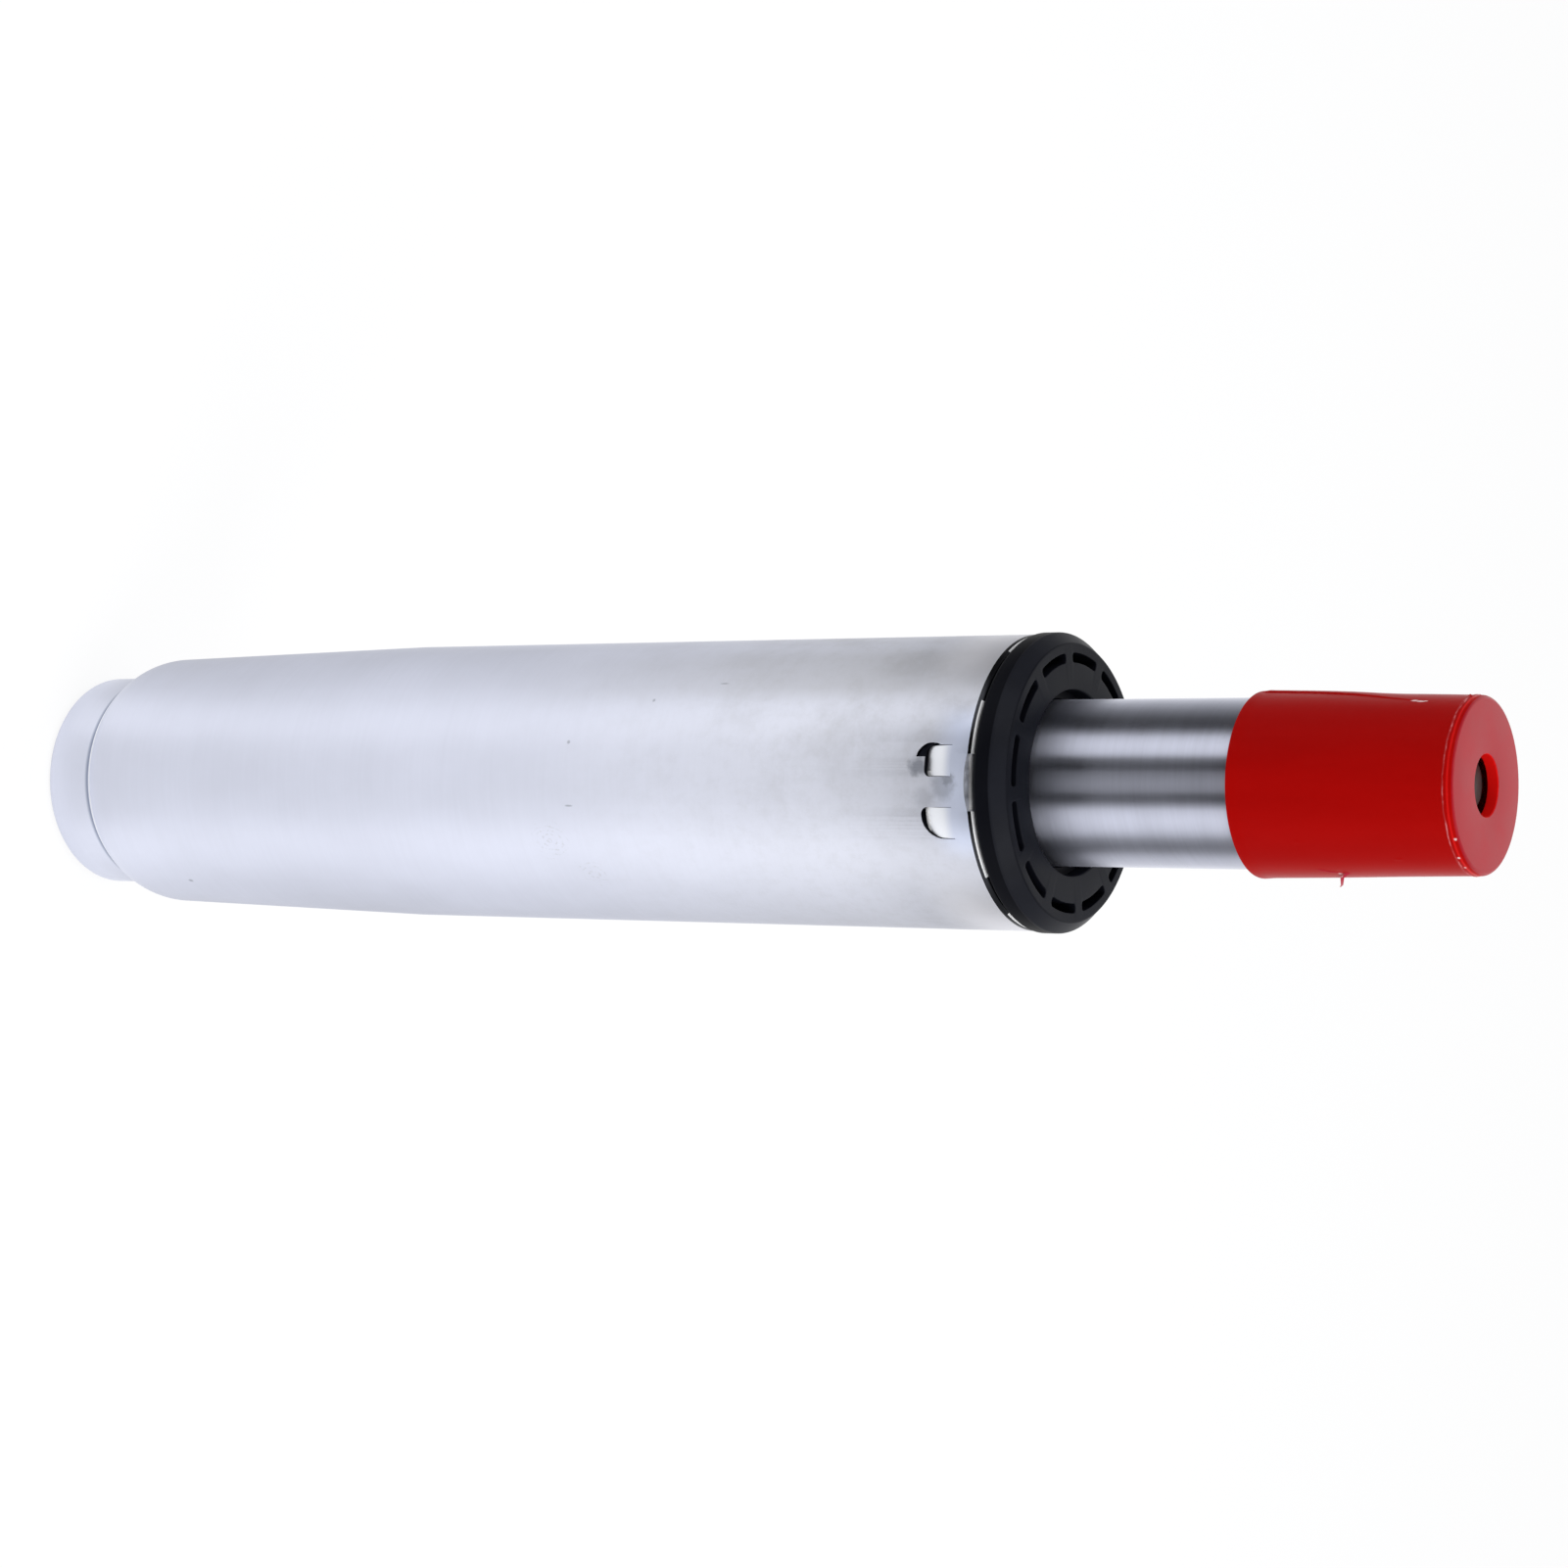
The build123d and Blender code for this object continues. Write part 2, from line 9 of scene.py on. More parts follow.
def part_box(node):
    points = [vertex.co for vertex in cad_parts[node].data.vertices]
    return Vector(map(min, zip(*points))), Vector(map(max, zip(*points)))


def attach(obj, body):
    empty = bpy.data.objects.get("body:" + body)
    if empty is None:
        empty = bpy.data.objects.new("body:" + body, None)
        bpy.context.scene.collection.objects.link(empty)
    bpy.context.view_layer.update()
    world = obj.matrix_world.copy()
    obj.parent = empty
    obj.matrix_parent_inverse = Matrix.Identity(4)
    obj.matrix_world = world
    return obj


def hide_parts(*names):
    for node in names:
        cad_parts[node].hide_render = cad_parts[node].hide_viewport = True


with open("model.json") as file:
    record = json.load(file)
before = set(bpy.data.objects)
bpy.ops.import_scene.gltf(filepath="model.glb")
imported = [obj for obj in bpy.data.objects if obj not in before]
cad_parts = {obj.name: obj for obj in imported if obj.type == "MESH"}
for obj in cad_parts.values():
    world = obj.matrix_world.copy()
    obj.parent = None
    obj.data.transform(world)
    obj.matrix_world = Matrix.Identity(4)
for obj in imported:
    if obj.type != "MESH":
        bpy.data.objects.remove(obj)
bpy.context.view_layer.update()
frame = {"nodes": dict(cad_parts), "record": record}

# Shapes are written in millimetres and turned into metres when their mesh is made.
# Angles are in degrees round the axis, from the front at -Y towards +X.
MM = 0.001


def extent(node):
    """Lowest and highest corner of a CAD node, in millimetres."""
    low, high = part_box(node)
    return low / MM, high / MM


# Sizes taken from the frame
cap_low, cap_high = extent("protective_cap")
pin_low, pin_high = extent("release_pin")
clip_low, clip_high = extent("retaining_clip")
rod_low, rod_high = extent("piston_rod")
balls_low, balls_high = extent("bearing_balls")
valve_low, valve_high = extent("valve_body")
seal_low, seal_high = extent("valve_seal")

STAND_RADIUS, _, STAND_HEIGHT = extent("outer_tube")[1]
FLANGE_RADIUS, _, FLANGE_TOP = extent("guide_bushing")[1]
BUSHING_FOOT = extent("guide_bushing")[0].z
TUBE_RADIUS, _, TUBE_TOP = extent("pressure_tube")[1]
TUBE_FOOT = extent("pressure_tube")[0].z
CAP_FOOT = cap_low.z
CAP_OFFSET = (cap_low.x + cap_high.x) / 2

# Stand tube
STAND_WALL = 2.0
CONE_HALF_ANGLE = 1.4378
TAPER = tan(radians(CONE_HALF_ANGLE))
BASE_TAPER_START = 78.0
SHOULDER_HEIGHT = 19.75
SHOULDER_RADIUS = 14.0
NECK_STEP = 3.55
NECK_ROUND = 1.8
CREASE_HEIGHT = 10.82
CREASE_ROUND = 0.5
RIM_RISE = 0.6
RIM_HEIGHT = STAND_HEIGHT + RIM_RISE
RIM_ROUND = 1.0
EDGE_ROUND = 0.2
TAB_DROP = 3.4
TAB_HINGE = STAND_HEIGHT - TAB_DROP

# Pressure tube's cone, and the cap over it
SEAT_LENGTH = 32.3
SEAT_FOOT = TUBE_TOP - SEAT_LENGTH
CAP_FIT = 0.27
CAP_WALL = 1.0
CAP_DROP = 0.45
CAP_TOP = cap_high.z - CAP_DROP

# How far a cutter stands out of what it cuts
OVERRUN = 1.0


def stand_radius(height):
    """Outer radius of the stand tube above its shoulder."""
    return STAND_RADIUS - max(0.0, BASE_TAPER_START - height) * TAPER


def seat_radius(height):
    """Outer radius of the pressure tube with its cone."""
    return TUBE_RADIUS - max(0.0, height - SEAT_FOOT) * TAPER


def cap_bore(height):
    return seat_radius(height) + CAP_FIT


# Meshes

def arc(centre, radius, start, end, count):
    """Points on an arc, its ends included."""
    points = []
    for step in range(count + 1):
        turn = radians(start + (end - start) * step / count)
        points.append((centre[0] + radius * cos(turn), centre[1] + radius * sin(turn)))
    return points


def run(start, end, count):
    """Evenly spaced points from start to end, without the end."""
    return [tuple(a + (b - a) * step / count for a, b in zip(start, end)) for step in range(count)]


def rounded(corners, steps=6):
    """An outline from (r, z) and (r, z, fillet) corners."""
    outline = []
    count = len(corners)
    for index, (r, z, *fillet) in enumerate(corners):
        if not fillet:
            outline.append((r, z))
            continue
        here = Vector((r, z))
        before = (Vector(corners[index - 1][:2]) - here).normalized()
        after = (Vector(corners[(index + 1) % count][:2]) - here).normalized()
        half = before.angle(after) / 2
        reach = fillet[0] / tan(half)
        centre = here + (before + after).normalized() * (fillet[0] / sin(half))
        first = here + before * reach - centre
        last = here + after * reach - centre
        sweep = first.angle_signed(last)
        for step in range(steps + 1):
            spoke = first.copy()
            spoke.rotate(Matrix.Rotation(-sweep * step / steps, 2))
            outline.append(tuple(centre + spoke))
    return outline


def divided(outline, low, high, reach):
    """The outline with extra points on its upright runs between two heights."""
    result = []
    for (r0, z0), (r1, z1) in zip(outline, outline[1:] + outline[:1]):
        result.append((r0, z0))
        start = max(low, min(z0, z1))
        end = min(high, max(z0, z1))
        if end - start <= reach:
            continue
        pieces = ceil((end - start) / reach)
        heights = [start + (end - start) * step / pieces for step in range(pieces + 1)]
        for height in (heights if z1 > z0 else heights[::-1]):
            if min(abs(height - z0), abs(height - z1)) > reach / 2:
                result.append((r0 + (r1 - r0) * (height - z0) / (z1 - z0), height))
    return result


def edge_layers(radius, count):
    """A cutter's (depth, growth) layers that leave a rounded edge."""
    angles = [radians(90 * step / count) for step in range(count + 1)]
    return [(radius * (1 - cos(angle)), radius * (1 - sin(angle))) for angle in angles]


def turns(coarse, fine=None, start=0.0, end=0.0):
    """Angles once round, with finer steps from start to end."""
    if fine is None:
        count = round(360 / coarse)
        return [360 * step / count for step in range(count)]
    inner = round((end - start) / fine)
    outer = round((360 - end + start) / coarse)
    angles = [start + (end - start) * step / inner for step in range(inner)]
    angles += [end + (360 - end + start) * step / outer for step in range(outer)]
    return angles


def place(angle, radius, height, offset=0.0):
    """A point in metres from an angle, a radius and a height."""
    turn = radians(angle)
    return Vector(((offset + radius * sin(turn)) * MM, -radius * cos(turn) * MM, height * MM))


def angle_of(point):
    return degrees(atan2(point.x, -point.y))


def face_outwards(bm):
    bm.normal_update()
    bmesh.ops.recalc_face_normals(bm, faces=bm.faces[:])


def revolved(name, outline, angles, offset=0.0, shape=None, closed=True):
    """An outline turned round the axis; shape may move each (angle, r, z) a little."""
    bm = bmesh.new()
    rows = []
    for angle in angles:
        row = []
        for r, z in outline:
            if shape:
                r, z = shape(angle, r, z)
            row.append(bm.verts.new(place(angle, r, z, offset)))
        rows.append(row)
    count = len(outline)
    for row, following in zip(rows, rows[1:] + rows[:1]):
        for index in range(count if closed else count - 1):
            after = (index + 1) % count
            bm.faces.new((row[index], following[index], following[after], row[after]))
    bmesh.ops.remove_doubles(bm, verts=bm.verts[:], dist=0.0005 * MM)
    face_outwards(bm)
    return new_object(name, bm)


def stack(bm, loops):
    """The faces of a closed skin through loops of as many points."""
    rings = [[bm.verts.new(point) for point in loop] for loop in loops]
    faces = []
    for ring, following in zip(rings, rings[1:]):
        for index in range(len(ring)):
            after = (index + 1) % len(ring)
            faces.append(bm.faces.new((ring[index], ring[after], following[after], following[index])))
    faces.append(bm.faces.new(rings[0][::-1]))
    faces.append(bm.faces.new(rings[-1]))
    return faces


def new_mesh(name, bm):
    mesh = bpy.data.meshes.new(name)
    bm.to_mesh(mesh)
    bm.free()
    return mesh


def new_object(name, bm):
    obj = bpy.data.objects.new(name, new_mesh(name, bm))
    bpy.context.scene.collection.objects.link(obj)
    return obj


def carve(obj, *skins):
    """Cut closed skins, each given by its loops, out of an object's mesh."""
    bm = bmesh.new()
    for loops in skins:
        stack(bm, loops)
    face_outwards(bm)
    cutter = new_object(obj.name + "_cutter", bm)
    cut = obj.modifiers.new("cut", "BOOLEAN")
    cut.operation = "DIFFERENCE"
    cut.solver = "EXACT"
    cut.object = cutter
    graph = bpy.context.evaluated_depsgraph_get()
    mesh = bpy.data.meshes.new_from_object(obj.evaluated_get(graph))
    obj.modifiers.clear()
    obj.data = mesh
    bpy.data.objects.remove(cutter)


def dress(obj, body, nodes, materials, sharp=28.0):
    """Smooth an object, paint it and let it ride in place of its nodes."""
    mesh = obj.data
    for material in materials:
        mesh.materials.append(material)
    mesh.polygons.foreach_set("use_smooth", [True] * len(mesh.polygons))
    mesh.set_sharp_from_angle(angle=radians(sharp))
    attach(obj, body)
    if nodes:
        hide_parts(*nodes)


def turned_piece(name, outline, step, body, node, material, closed=True):
    dress(revolved(name, outline, turns(step), closed=closed), body, [node], [material])


def bump(distance, width):
    """A soft bump of height 1."""
    return exp(-(distance / width) ** 2)


def step_up(value, start, end):
    """0 before start, 1 after end, and smooth in between."""
    share = min(1.0, max(0.0, (value - start) / (end - start)))
    return share * share * (3 - 2 * share)


def look_up(table, at, smooth=False):
    """The value between a table's (place, value) entries."""
    for (start, before), (end, after) in zip(table, table[1:]):
        if at <= end:
            share = step_up(at, start, end) if smooth else max(0.0, at - start) / (end - start)
            return before + (after - before) * share
    return table[-1][1]


# Shader nodes

EVEN = (1.0, 1.0, 1.0)
NOISE_RANGE = (0.3, 0.7)
SPOT_CORE_SHARE = 0.35


def add(tree, kind, inputs=None, **settings):
    """The outputs of a new shader node. A socket's id_data, used below, is its node tree."""
    node = tree.nodes.new("ShaderNode" + kind)
    for key, value in settings.items():
        setattr(node, key, value)
    for key, value in (inputs or {}).items():
        socket = node.inputs[key]
        if isinstance(value, bpy.types.NodeSocket):
            tree.links.new(value, socket)
        else:
            socket.default_value = value
    return node.outputs


def new_material(name):
    material = bpy.data.materials.new(name)
    material.use_nodes = True
    tree = material.node_tree
    tree.nodes.clear()
    return material, tree


def finish_material(tree, inputs):
    add(tree, "OutputMaterial", {"Surface": add(tree, "BsdfPrincipled", inputs)[0]})


def object_place(tree):
    return add(tree, "TexCoord")["Object"]


def along(tree, axis):
    """Place along an axis, in metres."""
    return add(tree, "SeparateXYZ", {0: object_place(tree)})[axis]


def speckle(tree, scale, stretch=EVEN, detail=3.0, rough=0.6):
    """Noise from 0 to 1, most of it inside NOISE_RANGE."""
    where = add(tree, "Mapping", {"Vector": object_place(tree), "Scale": stretch})[0]
    inputs = {"Vector": where, "Scale": scale, "Detail": detail, "Roughness": rough}
    return add(tree, "TexNoise", inputs)[0]


def remap(value, low, high, to_low=0.0, to_high=1.0, kind="LINEAR"):
    """A value moved from one range to another, and held inside it."""
    inputs = {"Value": value, "From Min": low, "From Max": high, "To Min": to_low, "To Max": to_high}
    return add(value.id_data, "MapRange", inputs, interpolation_type=kind, clamp=True)[0]


def ease(value, low, high, to_low=0.0, to_high=1.0):
    """Like remap, with a smooth start and end."""
    return remap(value, low, high, to_low, to_high, "SMOOTHSTEP")


def ramp(tree, axis, low, high, to_low=0.0, to_high=1.0):
    """A smooth change from one place to another along an axis, in millimetres."""
    return ease(along(tree, axis), low * MM, high * MM, to_low, to_high)


def spread(value, low, high):
    return remap(value, *NOISE_RANGE, low, high)


def uneven(value, amount):
    """Noise as a factor that lies up to an amount from 1."""
    return spread(value, 1.0 - amount, 1.0 + amount)


def calc(operation, first, second=0.0):
    return add(first.id_data, "Math", {0: first, 1: second}, operation=operation)[0]


def times(product, *factors):
    for factor in factors:
        product = calc("MULTIPLY", product, factor)
    return product


def mixture(first, second, share):
    """A share of the first value and the rest of the second."""
    return calc("ADD", times(first, share), times(second, 1.0 - share))


def shaken(length, value, amount):
    """A length that noise makes longer or shorter, in millimetres."""
    shift = calc("SUBTRACT", value, 0.5)
    return calc("ADD", length, times(shift, amount * MM))


def opaque(colour):
    """A plain colour with its alpha, or a socket as it is."""
    return colour if isinstance(colour, bpy.types.NodeSocket) else (*colour, 1.0)


def blend_colour(tree, factor, first, second, kind="MIX"):
    inputs = {"Factor": factor, 6: opaque(first), 7: opaque(second)}
    return add(tree, "Mix", inputs, data_type="RGBA", blend_type=kind)[2]


def shaded(colour, value):
    return blend_colour(value.id_data, 1.0, colour, value, "MULTIPLY")


def tinted(base, *tints):
    """A colour with others laid over it, each as (colour, mask, amount)."""
    for colour, mask, amount in tints:
        base = blend_colour(mask.id_data, times(mask, amount), base, colour)
    return base


def grain(height, strength, depth):
    inputs = {"Height": height, "Strength": strength, "Distance": depth * MM}
    return add(height.id_data, "Bump", inputs)[0]


def away_from(tree, point, stretch=EVEN):
    """Distance from a point in metres, stretched along the axes."""
    offset = add(tree, "VectorMath", {0: object_place(tree), 1: point}, operation="SUBTRACT")
    scaled = add(tree, "VectorMath", {0: offset[0], 1: stretch}, operation="MULTIPLY")
    return add(tree, "VectorMath", {0: scaled[0]}, operation="LENGTH")["Value"]


def spot(tree, point, reach, ragged=0.0, stretch=EVEN):
    """1 at a point and 0 from the reach on."""
    away = away_from(tree, point, stretch)
    if ragged:
        away = shaken(away, speckle(tree, 700.0, detail=4.0), ragged)
    return ease(away, SPOT_CORE_SHARE * reach * MM, reach * MM, 1.0, 0.0)


def band(tree, height, half, wobble=0.0):
    """1 at a height and 0 from half a width away."""
    away = calc("SUBTRACT", along(tree, "Z"), height * MM)
    if wobble:
        away = shaken(away, speckle(tree, 160.0), wobble)
    return ease(calc("ABSOLUTE", away), 0.0, half * MM, 1.0, 0.0)


def whorl(tree, point, reach, spacing):
    """Faint ridges round a point, as a finger leaves them."""
    away = away_from(tree, point, (1.0, 1.0, 0.7))
    bent = calc("ADD", away, times(speckle(tree, 230.0), 2.2 * MM))
    wave = calc("SINE", times(bent, 2 * pi / (spacing * MM)))
    broken = ease(speckle(tree, 1500.0), 0.45, 0.62)
    return times(ease(wave, 0.1, 1.0), broken, spot(tree, point, reach, ragged=5.0))


# Materials

def finish_brushed(tree, base, roughness, anisotropy, normal):
    finish_material(tree, {
        "Base Color": base,
        "Metallic": 1.0,
        "Roughness": roughness,
        "Anisotropic": anisotropy,
        "Anisotropic Rotation": 0.25,
        "Tangent": add(tree, "Tangent", direction_type="RADIAL", axis="Z")[0],
        "Normal": normal,
    })


def turned_metal(name, colour, roughness, anisotropy, rings=900.0, mottle=0.06, ring_bump=0.03,
                 stains=0.0):
    """Metal ground or brushed round the axis."""
    material, tree = new_material(name)
    fine = speckle(tree, rings, (0.05, 0.05, 1.0), 4.0, 0.65)
    broad = speckle(tree, rings / 7, (0.12, 0.12, 1.0))
    cloud = speckle(tree, 45.0, (1.0, 1.0, 0.5), 4.0)
    tone = mixture(fine, broad, 0.5)
    base = shaded(colour, times(uneven(tone, mottle), uneven(cloud, mottle)))
    if stains:
        spots = speckle(tree, 130.0, detail=5.0, rough=0.7)
        stain = tuple(0.45 * channel for channel in colour)
        base = tinted(base, (stain, ease(spots, 0.6, 0.75), stains))
    wear = mixture(fine, cloud, 0.35)
    rough = spread(wear, roughness - 0.04, roughness + 0.05)
    finish_brushed(tree, base, rough, anisotropy, grain(tone, 0.4, ring_bump))
    return material


def plain_metal(name, colour, roughness, mottle=0.08, scale=300.0, metallic=1.0, line=None):
    """Metal with an even grain; its painted highlight line is (height, half width)."""
    material, tree = new_material(name)
    fine = speckle(tree, scale * 6, detail=4.0)
    cloud = speckle(tree, scale, detail=5.0)
    base = shaded(colour, uneven(cloud, mottle))
    if line:
        base = tinted(base, ((0.97, 0.97, 0.98), band(tree, *line), 1.0))
    finish_material(tree, {
        "Base Color": base,
        "Metallic": metallic,
        "Roughness": spread(cloud, roughness - 0.05, roughness + 0.06),
        "Normal": grain(fine, 0.3, 0.02),
    })
    return material


def moulded(name, colour, roughness, gloss):
    material, tree = new_material(name)
    fine = speckle(tree, 2500.0, detail=4.0)
    cloud = speckle(tree, 120.0, detail=4.0)
    finish_material(tree, {
        "Base Color": shaded(colour, uneven(cloud, 0.12)),
        "Roughness": spread(cloud, roughness - 0.04, roughness + 0.06),
        "Specular IOR Level": gloss,
        "Normal": grain(fine, 0.35, 0.02),
    })
    return material


# Marks on the stand tube: stains as (angle, height, reach, strength), finger marks as
# (angle, height, reach), and nicks as (angle, height, stretch)
STAND_STAINS = (
    (1.4, 202.6, 3.1, 0.42), (-6.2, 197.9, 2.3, 0.8), (-0.9, 203.6, 1.3, 0.5), (6.0, 199.2, 2.6, 0.25),
    (-28.7, 203.0, 4.5, 0.10),
)
STAND_PRINTS = ((24.9, 122.2, 4.6), (40.85, 129.0, 3.6))
STAND_NICKS = (
    (-15.9, 127.0, EVEN), (9.8, 127.4, (2.0, 2.0, 0.45)), (-42.4, 155.9, (2.0, 2.0, 0.4)),
    (53.2, 31.95, (0.9, 0.9, 0.7)), (-34.25, 142.7, (1.2, 1.2, 1.2)),
)
STEEL_GREY = (0.42, 0.42, 0.43)
STEEL_DARK = (0.24, 0.255, 0.30)


def on_stand(angle, height):
    return place(angle, stand_radius(height), height)


def stand_tones(tree, base, upper, worn):
    """A greyer upper part with smears, and a painted sheen that makes the end by the rim paler and bluer
    on its front and sides.
    """
    crisp = ease(speckle(tree, 420.0, (1.0, 1.0, 0.8), 7.0, 0.75), 0.44, 0.66)
    strip = times(ramp(tree, "X", -16.5, -12.5, 1.0, 0.0), ramp(tree, "X", -23.5, -20.5),
                  ramp(tree, "Z", 190.0, 202.0, 1.0, 0.5), upper)
    # Painted sheen: the sides and the front near the rim are made paler and bluer.
    flank = times(ramp(tree, "Y", -22.0, -13.0), ramp(tree, "Y", 0.0, 8.0, 1.0, 0.0),
                  ramp(tree, "Z", 192.0, 204.0))
    front = times(ramp(tree, "Y", -23.5, -21.0, 1.0, 0.0), ramp(tree, "Z", 199.0, 205.5))
    return tinted(base, ((0.60, 0.60, 0.60), upper, 0.30), (STEEL_GREY, worn, 0.30),
                  (STEEL_GREY, times(crisp, upper), 0.14), (STEEL_GREY, strip, 0.45),
                  ((1.0, 1.0, 1.06), flank, 0.80), ((0.80, 0.87, 1.08), front, 0.75))


def stand_marks(tree, base):
    """Stains, finger marks and nicks, painted shade with a painted highlight at the crease, and a painted
    shade line at the foot.
    """
    for angle, height, reach, amount in STAND_STAINS:
        base = tinted(base, (STEEL_DARK, spot(tree, on_stand(angle, height), reach, 2.2), amount))
    for angle, height, reach in STAND_PRINTS:
        base = tinted(base, (STEEL_GREY, whorl(tree, on_stand(angle, height), reach, 0.9), 0.35))
    for angle, height, stretch in STAND_NICKS:
        base = tinted(base, (STEEL_DARK, spot(tree, on_stand(angle, height), 0.5, 0.3, stretch), 0.55))
    # Painted shade in the crease, a painted highlight beside it, and a painted shade line at the foot.
    return tinted(base, ((0.30, 0.34, 0.45), band(tree, CREASE_HEIGHT - 0.15, 0.85), 1.0),
                  ((1.0, 1.0, 1.0), band(tree, CREASE_HEIGHT + 1.1, 0.9), 1.0),
                  ((0.30, 0.33, 0.40), band(tree, 0.4, 0.5), 0.8))


def stand_steel(name, tab_highlight=0.0):
    """Satin steel of the stand tube, or of the tabs with a painted highlight."""
    material, tree = new_material(name)
    fine = speckle(tree, 1100.0, (0.05, 0.05, 1.0), 4.0, 0.65)
    broad = speckle(tree, 90.0, (0.15, 0.15, 1.0))
    cloud = speckle(tree, 38.0, (1.0, 1.0, 0.6), 5.0, 0.62)
    smear = speckle(tree, 85.0, detail=6.0, rough=0.68)
    tone = mixture(fine, broad, 0.6)
    shade = times(spread(tone, 0.98, 1.018), uneven(cloud, 0.035))
    upper = ramp(tree, "Z", 95.0, 210.0)
    worn = times(ease(smear, 0.42, 0.72), upper,
                 ramp(tree, "X", -12.0, 14.0, 1.0, 0.35), ramp(tree, "Y", 0.0, 15.0, 1.0, 0.4))
    base = stand_tones(tree, shaded((0.70, 0.725, 0.84), shade), upper, worn)
    if tab_highlight:
        # Painted highlight: the bent tab is made paler below its hinge.
        tab = ramp(tree, "Z", TAB_HINGE - 2.0, TAB_HINGE + 0.2, 1.0, 0.0)
        base = tinted(base, ((0.93, 0.95, 1.0), tab, tab_highlight))
    else:
        base = stand_marks(tree, base)
    rough = calc("ADD", spread(cloud, 0.40, 0.46), times(worn, 0.07))
    finish_brushed(tree, base, rough, 0.25, grain(tone, 0.28, 0.018))
    return material


# Pale spots on the cap, partly scuffs and partly painted glints on small pimples, as (angle, height, lift
# off its side, reach, stretch)
CAP_SCUFFS_AND_GLINTS = (
    (-66.6, 277.0, 0.0, 0.5, (2.0, 1.3, 0.6)), (-65.75, 278.2, 0.0, 0.45, (1.6, 1.2, 0.5)),
    (-66.25, 279.0, 0.0, 0.3, (1.6, 1.2, 0.6)), (52.05, 285.75, 0.0, 0.32, EVEN),
    (63.9, 285.8, 0.0, 0.32, EVEN), (35.8, 286.3, -0.08, 0.40, EVEN), (71.9, 264.1, 0.33, 0.60, EVEN),
)


def cap_marks(tree, base):
    # Painted highlights by the cap's end: a pale line on the bead and a brighter red line at the end's
    # round.
    broken = ease(speckle(tree, 420.0), 0.42, 0.62, 0.15, 0.95)
    pale = times(band(tree, CAP_TOP - 1.5, 0.2, 0.9), broken)
    base = tinted(base, ((0.80, 0.26, 0.28), pale, 0.9),
                  ((0.80, 0.010, 0.009), band(tree, CAP_TOP - 0.85, 0.34, 0.3), 0.9))
    # Pale spots: partly scuffs, partly painted glints.
    for angle, height, lift, reach, stretch in CAP_SCUFFS_AND_GLINTS:
        point = place(angle, cap_bore(height) + CAP_WALL + lift, height, CAP_OFFSET)
        base = tinted(base, ((0.95, 0.72, 0.72), spot(tree, point, reach, 0.5, stretch), 0.9))
    return base


def red_plastic(name, colour, gloss, rough, dots, sheen, marks=False):
    """Soft red plastic with slow streaks and a few pale specks."""
    material, tree = new_material(name)
    fine = speckle(tree, 1800.0)
    streak = speckle(tree, 120.0, (1.0, 1.0, 0.15), 4.0)
    speck = ease(speckle(tree, 900.0, detail=1.0), 0.83, 0.86, 0.0, dots)
    base = shaded(colour, uneven(streak, 0.06))
    base = blend_colour(tree, speck, base, (0.6, 0.12, 0.12))
    if marks:
        base = cap_marks(tree, base)
    finish_material(tree, {
        "Base Color": base,
        "Roughness": spread(streak, rough - 0.04, rough + 0.04),
        "Specular IOR Level": gloss,
        "Specular Tint": (1.0, 0.25, 0.22, 1.0),
        "Sheen Weight": sheen,
        "Sheen Roughness": 0.2,
        "Sheen Tint": (1.0, 0.72, 0.78, 1.0),
        "Normal": grain(fine, 0.25, 0.012),
    })
    return material


satin = stand_steel("stand_steel")
tab_face_highlight = stand_steel("tab_face_highlight", tab_highlight=0.9)
# White painted highlight for the tabs' rolled edges and corners.
tab_edge_highlight = plain_metal("tab_edge_highlight", (1.0, 1.0, 1.0), 0.24, mottle=0.02, metallic=0.2)
# Near-black painted shade for the windows' cut faces and the torn corner's floor.
cut_shade = plain_metal("cut_shade", (0.010, 0.011, 0.017), 0.50, mottle=0.4, scale=900.0)
# Painted highlight and painted shade for the bands of the rim's round.
rim_highlight = plain_metal("rim_highlight", (0.97, 0.97, 0.98), 0.20, mottle=0.02, metallic=0.3)
rim_shade = turned_metal("rim_shade", (0.05, 0.052, 0.06), 0.20, 0.3, mottle=0.05, ring_bump=0.01)
# The facet has a painted highlight line near the rim's top.
facet_steel = plain_metal("facet_steel", (0.36, 0.375, 0.43), 0.50, mottle=0.45, scale=700.0,
                          line=(RIM_HEIGHT - 0.60, 0.36))
column_steel = turned_metal("column_steel", (0.55, 0.57, 0.68), 0.29, 0.95, rings=1400.0, mottle=0.07,
                            stains=0.25)
zinc = turned_metal("zinc_plate", (0.56, 0.56, 0.55), 0.38, 0.3)
spring = plain_metal("spring_oxide", (0.10, 0.10, 0.11), 0.42)
dark_oxide = plain_metal("dark_oxide", (0.09, 0.09, 0.10), 0.45, mottle=0.2, scale=700.0)
hard = turned_metal("hard_chrome", (0.62, 0.62, 0.64), 0.12, 0.2, mottle=0.03, ring_bump=0.008)
alloy = turned_metal("turned_alloy", (0.68, 0.68, 0.69), 0.33, 0.6)
